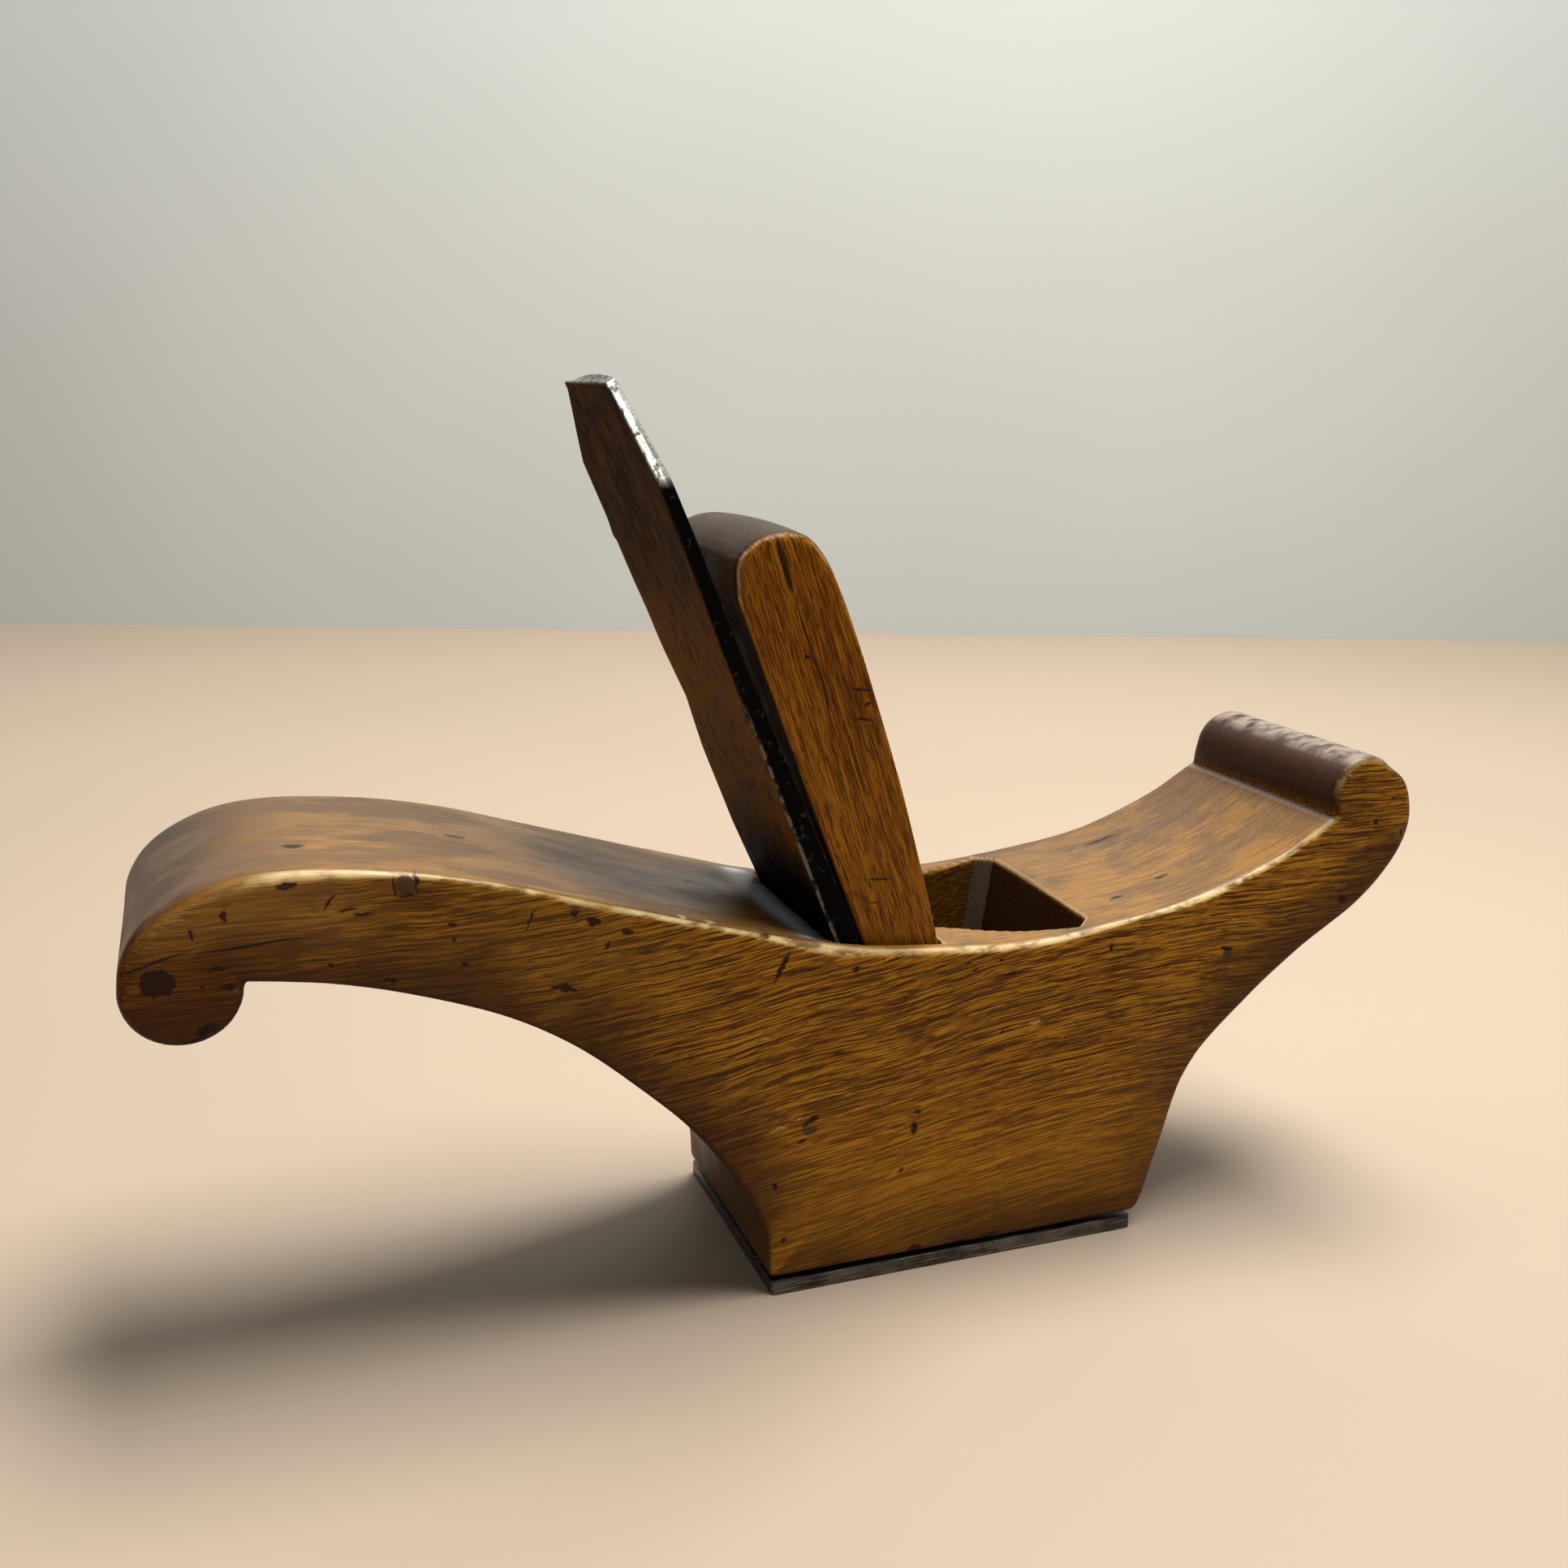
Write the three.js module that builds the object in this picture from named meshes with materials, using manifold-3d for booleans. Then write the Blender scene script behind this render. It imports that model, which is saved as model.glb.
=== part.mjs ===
// Coachmaker's smoothing plane: a one-piece beech stock with a scrolled tail grip and a raised toe horn,
// a tapered iron held by a forked wedge, and a steel sole plate on six countersunk wood screws.
//
// Units are millimetres. The origin is the centre of the sole's lower face, +X points to the toe,
// +Y across the stock, and +Z up. Profiles are drawn in the XZ plane and extruded along Y.

import * as THREE from 'three';
import { mergeVertices } from 'three/addons/utils/BufferGeometryUtils.js';
import Module from 'manifold-3d';

// ---------------------------------------------------------------- driving dimensions

const STOCK_WIDTH = 50.5;
const SOLE_LENGTH = 76;
const PLATE_THICKNESS = 2.4;
const GAP = 0.3; // kept between pieces that touch
const ARRIS = 1.7; // worn radius of the stock's long edges

// The iron lies on a bed that leans back. Each plane's line in the side view is x = foot - lean * z.
const BED = { foot: 1.04, lean: 0.3975 };
const IRON_FACE = { foot: 7.8, lean: 0.426 };
const WEDGE_FACE = { foot: 11.5, lean: 0.256 };
const BREAST_POINTS = [[9.6, 0], [9.6, PLATE_THICKNESS], [24.5, 44], [27.2, 63.5], [28.9, 76]];

const IRON_WIDTH = 43.4;
const IRON_TOP_Z = 164.4;
const IRON_TOP_CROWN = 1.9;
const SHOULDER_Z = 148;
const SHOULDER_INSET = 7.4;
const EDGE_Z = 0.5; // the cutting edge stands this far above the sole when drawn back
const BEVEL_ANGLE = 30; // degrees, ground on the side that faces the bed

const WEDGE_WIDTH = 42.8;
const WEDGE_CONTACT_Z = 66; // above this height the wedge's back leaves the iron
const WEDGE_BEND_Z = 90; // above this height the wedge's front leans back more
const WEDGE_HEAD_FRONT = [-24.9, 129];
const WEDGE_BACK_TOP = [-43.9, 128.2];
const WEDGE_LEG = 9.2;
const WEDGE_CROTCH_Z = 46;
const WEDGE_CROTCH_RADIUS = 6;
const WEDGE_TOE_Z = 12;
const WEDGE_TOE_THICKNESS = 2;
const WEDGE_TAPER_Z = 26; // the legs are pared thin below this height

const SLOT_WIDTH = 44.2;
const ABUTMENT_TIP_Y = 13;
const FLARE_END_X = 23.5; // the throat reaches its full width here, at the top of the stock
const CORNER_CHAMFER = 3;
const THROAT_RIM_Z = 63.5; // the height of the stock's top at the throat
const THROAT_TOP_Z = 76; // the cutters reach this high, clear of the stock
const SCOOP_REAR = { x: -34.4, z: 69.2 };
const SCOOP_SLOPE = 0.37;
const SCOOP_HALF_WIDTH = 21;

const SCREW_XS = [-31, -9.5, 28];
const SCREW_Y = 16.2;
const SCREW_LENGTH = 13;
const SCREW_HEAD_RADIUS = 3.8;
const SCREW_SHANK_RADIUS = 1.9;
const SCREW_SIDES = 16;
const SCREW_RECESS = 0.2;
const SCREW_POINT = 4; // length of the screw's taper
const SCREW_TIP_RADIUS = 0.5;
const DRIVER_SLOT = { width: 0.9, depth: 0.8 };
const DRIVER_TURN = { first: 0.4, step: 1.1 }; // radians; no two slots line up

const CLEAR = 1; // how far a cutter reaches past the face it opens
const IRON_SPAN = { from: -90, to: 30 }; // along X; holds the whole leaning iron

const CURVE_STEPS = { tail: 26, top: 40, toe: 28, head: 18 };
const SCROLL_STEPS = 16;
const ROLL_STEPS = 14;
const CROWN_STEPS = 8;
const THROAT_STEPS = 19;
const CROTCH_STEPS = 4;

// ---------------------------------------------------------------- materials

const material = (color, roughness, metalness = 0) =>
  new THREE.MeshStandardMaterial({ color, roughness, metalness });
const beech = material(0x8a5a20, 0.42);
const wedgeBeech = material(0x8c571c, 0.5);
const darkIron = material(0x33241c, 0.5, 0.8);
const soleSteel = material(0x55504a, 0.4, 0.9);
const screwSteel = material(0x6a6259, 0.45, 0.9);

// ---------------------------------------------------------------- solids

const wasm = await Module();
wasm.setup();

function toSolid(geometry) {
  const bare = geometry.clone();
  bare.deleteAttribute('normal');
  bare.deleteAttribute('uv');
  const merged = mergeVertices(bare, 1e-4);
  return new wasm.Manifold(new wasm.Mesh({
    numProp: 3,
    vertProperties: new Float32Array(merged.attributes.position.array),
    triVerts: new Uint32Array(merged.index.array),
  }));
}

function toMesh(name, solid, finish) {
  const { numProp, vertProperties, triVerts } = solid.getMesh();
  const positions = new Float32Array((vertProperties.length / numProp) * 3);
  for (let i = 0; i < positions.length / 3; i += 1) {
    positions.set(vertProperties.subarray(i * numProp, i * numProp + 3), i * 3);
  }
  const geometry = new THREE.BufferGeometry();
  geometry.setAttribute('position', new THREE.BufferAttribute(positions, 3));
  geometry.setIndex(new THREE.BufferAttribute(new Uint32Array(triVerts), 1));
  geometry.computeVertexNormals();
  const mesh = new THREE.Mesh(geometry, finish);
  mesh.name = name;
  return mesh;
}

const vectors = (points) => points.map(([x, y]) => new THREE.Vector2(x, y));

// A side-view outline, extruded across the stock and centred on it.
function acrossStock(points, width, bevel = 0) {
  const geometry = new THREE.ExtrudeGeometry(new THREE.Shape(vectors(points)), {
    depth: width - 2 * bevel,
    bevelEnabled: bevel > 0,
    bevelThickness: bevel,
    bevelSize: bevel,
    bevelOffset: -bevel,
    bevelSegments: 2,
  });
  geometry.translate(0, 0, bevel - width / 2);
  geometry.rotateX(Math.PI / 2);
  return geometry;
}

// A front-view outline, drawn as (y, z) and extruded along X from one x to another.
function alongStock(points, fromX, toX) {
  const geometry = new THREE.ExtrudeGeometry(new THREE.Shape(vectors(points)), {
    depth: toX - fromX,
    bevelEnabled: false,
  });
  geometry.translate(0, 0, fromX);
  geometry.rotateX(Math.PI / 2);
  geometry.rotateZ(Math.PI / 2);
  return geometry;
}

const onPlane = (plane, z, offset = 0) => [plane.foot + offset - plane.lean * z, z];

function curve(points, steps) {
  const path = new THREE.CatmullRomCurve3(
    points.map(([x, z]) => new THREE.Vector3(x, z, 0)),
    false,
    'centripetal',
  );
  return path.getPoints(steps).map((p) => [p.x, p.y]);
}

function arc(x, z, radius, fromDegrees, toDegrees, steps) {
  return Array.from({ length: steps + 1 }, (_, i) => {
    const angle = THREE.MathUtils.degToRad(fromDegrees + ((toDegrees - fromDegrees) * i) / steps);
    return [x + radius * Math.cos(angle), z + radius * Math.sin(angle)];
  });
}

function lerpAt(points, z) {
  const next = points.findIndex((p, i) => i > 0 && p[1] >= z);
  const [x0, z0] = points[next - 1];
  const [x1, z1] = points[next];
  return z1 === z0 ? x1 : x0 + ((x1 - x0) * (z - z0)) / (z1 - z0);
}

// ---------------------------------------------------------------- stock

const TAIL_SCROLL = { x: -134.7, z: 71.8, radius: 9.3 };
const TOE_ROLL = { x: 85.9, z: 85.7, radius: 7.7 };

function stockOutline() {
  const foot = PLATE_THICKNESS + GAP;
  const tailUnderside = curve([
    [-38.4, foot], [-39.2, 11.8], [-42.6, 20.1], [-51.4, 33.3], [-62.8, 45.1], [-76.1, 55.8], [-92.2, 63.9],
    [-112.3, 69.9], [-125.6, 72.1],
  ], CURVE_STEPS.tail);
  const scroll = arc(TAIL_SCROLL.x, TAIL_SCROLL.z, TAIL_SCROLL.radius, 2, -178, SCROLL_STEPS);
  const top = curve([
    [-144, 71.5], [-143.4, 76.2], [-140.9, 81], [-136.7, 84.8], [-129, 88.2], [-118.4, 89.4], [-103, 88],
    [-88.9, 85.3], [-72.3, 80.4], [-42, 71.2], [-21, 65.8], [1.2, 63.7], [12.8, 63.2], [30.5, 65.1],
    [49.1, 68.4], [67.6, 75], [79, 81.6],
  ], CURVE_STEPS.top);
  const roll = arc(TOE_ROLL.x, TOE_ROLL.z, TOE_ROLL.radius, 195, 44, ROLL_STEPS);
  const toeUnderside = curve([
    [91.4, 91], [95.8, 87.6], [97.4, 82.3], [96.5, 75.5], [89, 64.9], [74.9, 55.8], [61.3, 45.1],
    [48.9, 32.1], [44.3, 17.7], [41.2, 8], [38.9, foot],
  ], CURVE_STEPS.toe);
  return [...tailUnderside, ...scroll.slice(1), ...top.slice(1), ...roll, ...toeUnderside.slice(1)];
}

// The throat in front of the wedge: two abutments leave a gap that flares to the slot's full width, with
// chamfered corners at the front. The whole plan leans with the breast, so that the abutments run out
// towards the mouth.
function throatSolid() {
  const half = SLOT_WIDTH / 2;
  const front = lerpAt(BREAST_POINTS, THROAT_RIM_Z);
  const tipX = onPlane(WEDGE_FACE, THROAT_RIM_Z, GAP)[0];
  const backX = tipX - half;
  const plan = [
    [backX, -ABUTMENT_TIP_Y], [tipX, -ABUTMENT_TIP_Y], [FLARE_END_X, -half], [front - CORNER_CHAMFER, -half],
    [front, CORNER_CHAMFER - half], [front, half - CORNER_CHAMFER],
    [front - CORNER_CHAMFER, half], [FLARE_END_X, half], [tipX, ABUTMENT_TIP_Y], [backX, ABUTMENT_TIP_Y],
  ];
  const geometry = new THREE.ExtrudeGeometry(new THREE.Shape(vectors(plan)), {
    depth: THROAT_TOP_Z,
    steps: THROAT_STEPS,
    bevelEnabled: false,
  });
  const position = geometry.attributes.position;
  for (let i = 0; i < position.count; i += 1) {
    const shift = lerpAt(BREAST_POINTS, position.getZ(i)) - front;
    position.setX(i, position.getX(i) + shift);
  }
  const reach = acrossStock([
    onPlane(BED, 0, -GAP), [SOLE_LENGTH / 2, 0], [SOLE_LENGTH / 2, THROAT_TOP_Z],
    onPlane(BED, THROAT_TOP_Z, -GAP),
  ], STOCK_WIDTH);
  return toSolid(geometry).intersect(toSolid(reach));
}

// The slot that holds the iron and the wedge, between the bed and the abutments. Near the mouth the breast
// stands behind the abutments' line, and bounds the slot instead.
function slotSolid() {
  const breast = BREAST_POINTS.filter(([x, z]) => x < onPlane(WEDGE_FACE, z, GAP)[0]);
  return toSolid(acrossStock([
    onPlane(BED, -CLEAR, -GAP), [breast[0][0], -CLEAR], ...breast, breastCrossing(),
    onPlane(WEDGE_FACE, THROAT_TOP_Z, GAP), onPlane(BED, THROAT_TOP_Z, -GAP),
  ], SLOT_WIDTH));
}

// Where the abutments' line meets the sloping part of the breast.
function breastCrossing() {
  const [x0, z0] = BREAST_POINTS[1];
  const [x1, z1] = BREAST_POINTS[2];
  const lean = (x1 - x0) / (z1 - z0);
  const z = (WEDGE_FACE.foot + GAP - x0 + lean * z0) / (lean + WEDGE_FACE.lean);
  return onPlane(WEDGE_FACE, z, GAP);
}

function eachScrew(make) {
  return SCREW_XS.flatMap((x) => [-SCREW_Y, SCREW_Y].map((y) => make(x, y)));
}

function turned(profile, x, y) {
  const geometry = new THREE.LatheGeometry(vectors(profile), SCREW_SIDES);
  geometry.rotateX(Math.PI / 2);
  geometry.translate(x, y, 0);
  return toSolid(geometry);
}

// Room for one screw, a gap wider all round. It passes through the plate and into the stock.
function screwRoom(x, y) {
  return turned([
    [0, -CLEAR], [SCREW_HEAD_RADIUS + GAP, -CLEAR], [SCREW_HEAD_RADIUS + GAP, SCREW_RECESS],
    [SCREW_SHANK_RADIUS + GAP, PLATE_THICKNESS + GAP], [SCREW_SHANK_RADIUS + GAP, SCREW_LENGTH],
    [0, SCREW_LENGTH + 2 * GAP],
  ], x, y);
}

function makeStock() {
  const reach = 13;
  const scoop = toSolid(acrossStock([
    [SCOOP_REAR.x, SCOOP_REAR.z], [SCOOP_REAR.x + reach, SCOOP_REAR.z - SCOOP_SLOPE * reach],
    [SCOOP_REAR.x + reach, SCOOP_REAR.z + reach], [SCOOP_REAR.x, SCOOP_REAR.z + reach],
  ], 2 * SCOOP_HALF_WIDTH));
  let solid = toSolid(acrossStock(stockOutline(), STOCK_WIDTH, ARRIS));
  solid = solid.subtract(slotSolid()).subtract(throatSolid()).subtract(scoop);
  eachScrew((x, y) => {
    solid = solid.subtract(screwRoom(x, y));
  });
  return toMesh('body', solid, beech);
}

// ---------------------------------------------------------------- sole

function makeSolePlate() {
  const half = SOLE_LENGTH / 2;
  let solid = toSolid(acrossStock(
    [[-half, 0], [half, 0], [half, PLATE_THICKNESS], [-half, PLATE_THICKNESS]],
    STOCK_WIDTH,
  ));
  const mouthFront = BREAST_POINTS[0][0];
  const above = PLATE_THICKNESS + CLEAR;
  const mouth = acrossStock(
    [onPlane(BED, -CLEAR, -GAP), [mouthFront, -CLEAR], [mouthFront, above], onPlane(BED, above, -GAP)],
    SLOT_WIDTH,
  );
  solid = solid.subtract(toSolid(mouth));
  eachScrew((x, y) => {
    solid = solid.subtract(screwRoom(x, y));
  });
  return toMesh('sole_plate', solid, soleSteel);
}

function makeScrew(x, y, index) {
  const screw = turned([
    [0, SCREW_RECESS], [SCREW_HEAD_RADIUS, SCREW_RECESS], [SCREW_SHANK_RADIUS, PLATE_THICKNESS],
    [SCREW_SHANK_RADIUS, SCREW_LENGTH - SCREW_POINT], [SCREW_TIP_RADIUS, SCREW_LENGTH - GAP],
    [0, SCREW_LENGTH - GAP],
  ], x, y);
  const slot = new THREE.BoxGeometry(4 * SCREW_HEAD_RADIUS, DRIVER_SLOT.width, 2 * DRIVER_SLOT.depth);
  slot.rotateZ(DRIVER_TURN.first + DRIVER_TURN.step * index);
  slot.translate(x, y, SCREW_RECESS);
  return toMesh(`sole_screw_${index + 1}`, screw.subtract(toSolid(slot)), screwSteel);
}

// ---------------------------------------------------------------- iron

function makeIron() {
  const edge = onPlane(IRON_FACE, EDGE_Z);
  // The bevel rises backwards from the edge until it meets the iron's back.
  const pitch = 90 - THREE.MathUtils.radToDeg(Math.atan(IRON_FACE.lean));
  const rise = Math.tan(THREE.MathUtils.degToRad(pitch - BEVEL_ANGLE));
  const run = (edge[0] - onPlane(BED, EDGE_Z)[0]) / (1 - BED.lean * rise);
  const heel = [edge[0] - run, EDGE_Z + rise * run];
  const topZ = IRON_TOP_Z + CLEAR;
  const side = acrossStock(
    [edge, onPlane(IRON_FACE, topZ), onPlane(BED, topZ), heel],
    IRON_WIDTH,
  );
  const half = IRON_WIDTH / 2;
  const crownHalf = half - SHOULDER_INSET;
  const crown = Array.from({ length: CROWN_STEPS + 1 }, (_, i) => {
    const t = 1 - (2 * i) / CROWN_STEPS;
    return [crownHalf * t, IRON_TOP_Z - IRON_TOP_CROWN * t * t];
  });
  const face = alongStock([
    [-half, -CLEAR], [half, -CLEAR], [half, SHOULDER_Z], ...crown, [-half, SHOULDER_Z],
  ], IRON_SPAN.from, IRON_SPAN.to);
  return toMesh('iron', toSolid(side).intersect(toSolid(face)), darkIron);
}

// ---------------------------------------------------------------- wedge

function makeWedge() {
  const back = [WEDGE_BACK_TOP, onPlane(IRON_FACE, WEDGE_CONTACT_Z, GAP)];
  const toe = onPlane(IRON_FACE, WEDGE_TOE_Z, GAP);
  const head = curve([
    WEDGE_HEAD_FRONT, [-27.3, 134.1], [-30.9, 138.2], [-35.2, 139.3], [-40.3, 138.1], [-44, 134.6],
    WEDGE_BACK_TOP,
  ], CURVE_STEPS.head);
  const side = acrossStock([
    toe, [toe[0] + WEDGE_TOE_THICKNESS, WEDGE_TOE_Z], onPlane(WEDGE_FACE, WEDGE_TAPER_Z),
    onPlane(WEDGE_FACE, WEDGE_BEND_Z), ...head.slice(0, -1), ...back,
  ], WEDGE_WIDTH);
  const crotchHalf = WEDGE_WIDTH / 2 - WEDGE_LEG;
  const corner = (sign, from, to) => arc(
    sign * (crotchHalf - WEDGE_CROTCH_RADIUS),
    WEDGE_CROTCH_Z - WEDGE_CROTCH_RADIUS,
    WEDGE_CROTCH_RADIUS,
    from,
    to,
    CROTCH_STEPS,
  );
  const fork = alongStock([
    [-crotchHalf, 0], [crotchHalf, 0], ...corner(1, 0, 90), ...corner(-1, 90, 180),
  ], -SOLE_LENGTH / 2, SOLE_LENGTH / 2);
  return toMesh('wedge', toSolid(side).subtract(toSolid(fork)), wedgeBeech);
}

// ---------------------------------------------------------------- assembly

const plane = new THREE.Group();
const screwPlaces = eachScrew((x, y) => [x, y]);
plane.add(makeStock(), makeSolePlate(), makeIron(), makeWedge());
screwPlaces.forEach(([x, y], index) => plane.add(makeScrew(x, y, index)));

export default plane;
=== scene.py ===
"""A coachmaker's hand plane: the looks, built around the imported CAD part.

Blender 4.5. The plane is worked out in millimetres in the CAD frame (sole on z = 0, +X to the toe) and
written to the meshes in metres. The studio and its lights are in metres.
"""

import math

import bmesh
import bpy
import numpy as np
from mathutils import Matrix, Vector


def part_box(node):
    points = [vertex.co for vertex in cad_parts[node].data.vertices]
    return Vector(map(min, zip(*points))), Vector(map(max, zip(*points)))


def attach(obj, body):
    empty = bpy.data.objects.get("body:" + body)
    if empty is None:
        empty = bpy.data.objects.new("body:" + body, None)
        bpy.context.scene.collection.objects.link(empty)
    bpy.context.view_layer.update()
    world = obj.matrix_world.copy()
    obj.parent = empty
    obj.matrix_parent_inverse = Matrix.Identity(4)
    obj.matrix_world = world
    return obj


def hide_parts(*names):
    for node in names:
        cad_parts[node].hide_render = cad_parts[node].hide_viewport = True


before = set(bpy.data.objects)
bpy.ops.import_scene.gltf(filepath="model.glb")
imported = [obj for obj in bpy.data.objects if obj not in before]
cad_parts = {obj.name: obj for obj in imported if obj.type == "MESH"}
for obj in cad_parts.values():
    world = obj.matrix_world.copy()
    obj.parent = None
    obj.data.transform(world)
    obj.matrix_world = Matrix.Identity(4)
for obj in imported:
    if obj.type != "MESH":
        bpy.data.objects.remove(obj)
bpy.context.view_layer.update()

MM = 0.001


def add_object(name, data):
    obj = bpy.data.objects.new(name, data)
    bpy.context.scene.collection.objects.link(obj)
    return obj


def shade_smooth(mesh):
    mesh.polygons.foreach_set("use_smooth", np.ones(len(mesh.polygons), bool))


# ------------------------------ camera

CAMERA_PLACE = (-128.0, -272.5, 164.4)
CAMERA_AZIMUTH = -20.25  # degrees; the camera looks along +Y, turned this far
CAMERA_PITCH = -14.29
CAMERA_ROLL = 0.68
CAMERA_LENS = 36.84


def make_camera():
    data = bpy.data.cameras.new("camera")
    data.lens = CAMERA_LENS
    data.sensor_width = 36
    data.clip_start = 0.01
    camera = add_object("camera", data)
    turn = Matrix.Rotation(math.radians(CAMERA_AZIMUTH), 4, "Z")
    tilt = Matrix.Rotation(math.radians(90 + CAMERA_PITCH), 4, "X")
    roll = Matrix.Rotation(math.radians(CAMERA_ROLL), 4, "Z")
    camera.matrix_world = Matrix.Translation(Vector(CAMERA_PLACE) * MM) @ turn @ tilt @ roll
    bpy.context.scene.camera = camera


make_camera()

# ------------------------------ fields
# A field is a function of points (an N x 3 array in mm) that is negative inside the wood, zero on its
# surface and about the distance to it outside.


def smooth(low, high, value):
    t = np.clip((value - low) / (high - low), 0, 1)
    return t * t * (3 - 2 * t)


def soft_max(a, b, width):
    """The larger of two fields, with the edge between them rounded over about that width."""
    h = np.clip(0.5 + 0.5 * (a - b) / width, 0, 1)
    return b + (a - b) * h + width * h * (1 - h)


def ripple(points, size, seed, waves=7):
    """Smooth random undulation between about -1 and 1, with bumps of about that size."""
    random = np.random.default_rng(seed)
    total = np.zeros(len(points))
    for _ in range(waves):
        direction = random.normal(size=3)
        direction *= random.uniform(0.6, 1.5) * math.pi / (size * np.linalg.norm(direction))
        total += np.sin(points @ direction + random.uniform(0, 2 * math.pi))
    return total / math.sqrt(waves)


def rounded_corner(a, b, radius):
    """Two walls that meet at right angles, with a round arris between them."""
    p, q = a + radius, b + radius
    return np.hypot(np.maximum(p, 0), np.maximum(q, 0)) + np.minimum(np.maximum(p, q), 0) - radius


def side_loop(node):
    """The rim of a node's flat near side, as points (x, z)."""
    mesh = bmesh.new()
    mesh.from_mesh(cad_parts[node].data)
    bmesh.ops.remove_doubles(mesh, verts=mesh.verts, dist=1e-6)
    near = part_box(node)[0].y
    flat = [f.normal.y < -0.999 and f.calc_center_median().y < near + 1e-5 for f in mesh.faces]
    links = {}
    for edge in mesh.edges:
        if sum(flat[f.index] for f in edge.link_faces) == 1:
            a, b = (v.index for v in edge.verts)
            links.setdefault(a, []).append(b)
            links.setdefault(b, []).append(a)
    mesh.verts.ensure_lookup_table()
    start = min(links)
    path = [start, min(links[start])]
    while path[-1] != start:
        path.append(next(v for v in links[path[-1]] if v != path[-2]))
    loop = np.array([[mesh.verts[i].co.x, mesh.verts[i].co.z] for i in path[:-1]]) / MM
    mesh.free()
    return loop


def rounded_loop(loop, corner=30, spacing=0.8):
    """The same loop with smooth curves through its points, except at corners sharper than that."""
    count = len(loop)
    before = loop - np.roll(loop, 1, axis=0)
    after = np.roll(before, -1, axis=0)
    turn = np.degrees(np.abs(np.angle((after @ [1, 1j]) / (before @ [1, 1j]))))
    sharp = turn > corner
    points = []
    for i in range(count):
        p1 = loop[i]
        p2 = loop[(i + 1) % count]
        p0 = 2 * p1 - p2 if sharp[i] else loop[i - 1]
        p3 = 2 * p2 - p1 if sharp[(i + 1) % count] else loop[(i + 2) % count]
        length = np.linalg.norm(p2 - p1)
        knots = [0.0]
        for a, b in ((p0, p1), (p1, p2), (p2, p3)):
            knots.append(knots[-1] + math.sqrt(max(np.linalg.norm(b - a), 1e-6)))
        slope1 = ((p1 - p0) / (knots[1] - knots[0]) - (p2 - p0) / (knots[2] - knots[0])
                  + (p2 - p1) / (knots[2] - knots[1])) * (knots[2] - knots[1])
        slope2 = ((p2 - p1) / (knots[2] - knots[1]) - (p3 - p1) / (knots[3] - knots[1])
                  + (p3 - p2) / (knots[3] - knots[2])) * (knots[2] - knots[1])
        pieces = max(1, round(length / spacing))
        for step in range(pieces):
            t = step / pieces
            points.append((2 * t**3 - 3 * t**2 + 1) * p1 + (t**3 - 2 * t**2 + t) * slope1
                          + (3 * t**2 - 2 * t**3) * p2 + (t**3 - t**2) * slope2)
    return np.array(points)


def distance_to_loop(x, z, loop):
    """Signed distance in the plane to a closed loop of points, negative inside it."""
    nearest = np.full(x.shape, np.inf)
    inside = np.zeros(x.shape, bool)
    for (ax, az), (bx, bz) in zip(loop, np.roll(loop, -1, axis=0)):
        ex, ez = bx - ax, bz - az
        t = np.clip(((x - ax) * ex + (z - az) * ez) / (ex * ex + ez * ez), 0, 1)
        np.minimum(nearest, (x - ax - t * ex) ** 2 + (z - az - t * ez) ** 2, out=nearest)
        if az != bz:
            inside ^= ((az > z) != (bz > z)) & (x < ax + (z - az) / (bz - az) * ex)
    return np.where(inside, -1, 1) * np.sqrt(nearest)


class Outline:
    """A side view's signed distance, worked out once on a grid and read back between its points."""

    def __init__(self, loop, grow=0.0, cell=0.4, margin=8.0):
        self.low = loop.min(0) - margin
        self.cell = cell
        size = np.ceil((loop.max(0) + margin - self.low) / cell).astype(int) + 1
        x, z = np.meshgrid(*(self.low[i] + cell * np.arange(size[i]) for i in (0, 1)), indexing="ij")
        self.grid = distance_to_loop(x, z, loop) - grow

    def __call__(self, x, z):
        u = np.clip((x - self.low[0]) / self.cell, 0, self.grid.shape[0] - 1.001)
        v = np.clip((z - self.low[1]) / self.cell, 0, self.grid.shape[1] - 1.001)
        i, j = u.astype(int), v.astype(int)
        u, v = u - i, v - j
        g = self.grid
        return ((g[i, j] * (1 - u) + g[i + 1, j] * u) * (1 - v)
                + (g[i, j + 1] * (1 - u) + g[i + 1, j + 1] * u) * v)


def slope_of(field, points, reach=0.15):
    out = np.empty_like(points)
    for axis in range(3):
        shift = np.zeros(3)
        shift[axis] = reach
        out[:, axis] = (field(points + shift) - field(points - shift)) / (2 * reach)
    return out


def settle(points, field, rounds, most=0.5):
    """Moves points along the field's slope onto its surface."""
    for _ in range(rounds):
        slope = slope_of(field, points)
        length = np.maximum((slope**2).sum(1), 0.05)
        step = np.clip(field(points) / length, -most, most)
        points = points - slope * step[:, None]
    return points


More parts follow.
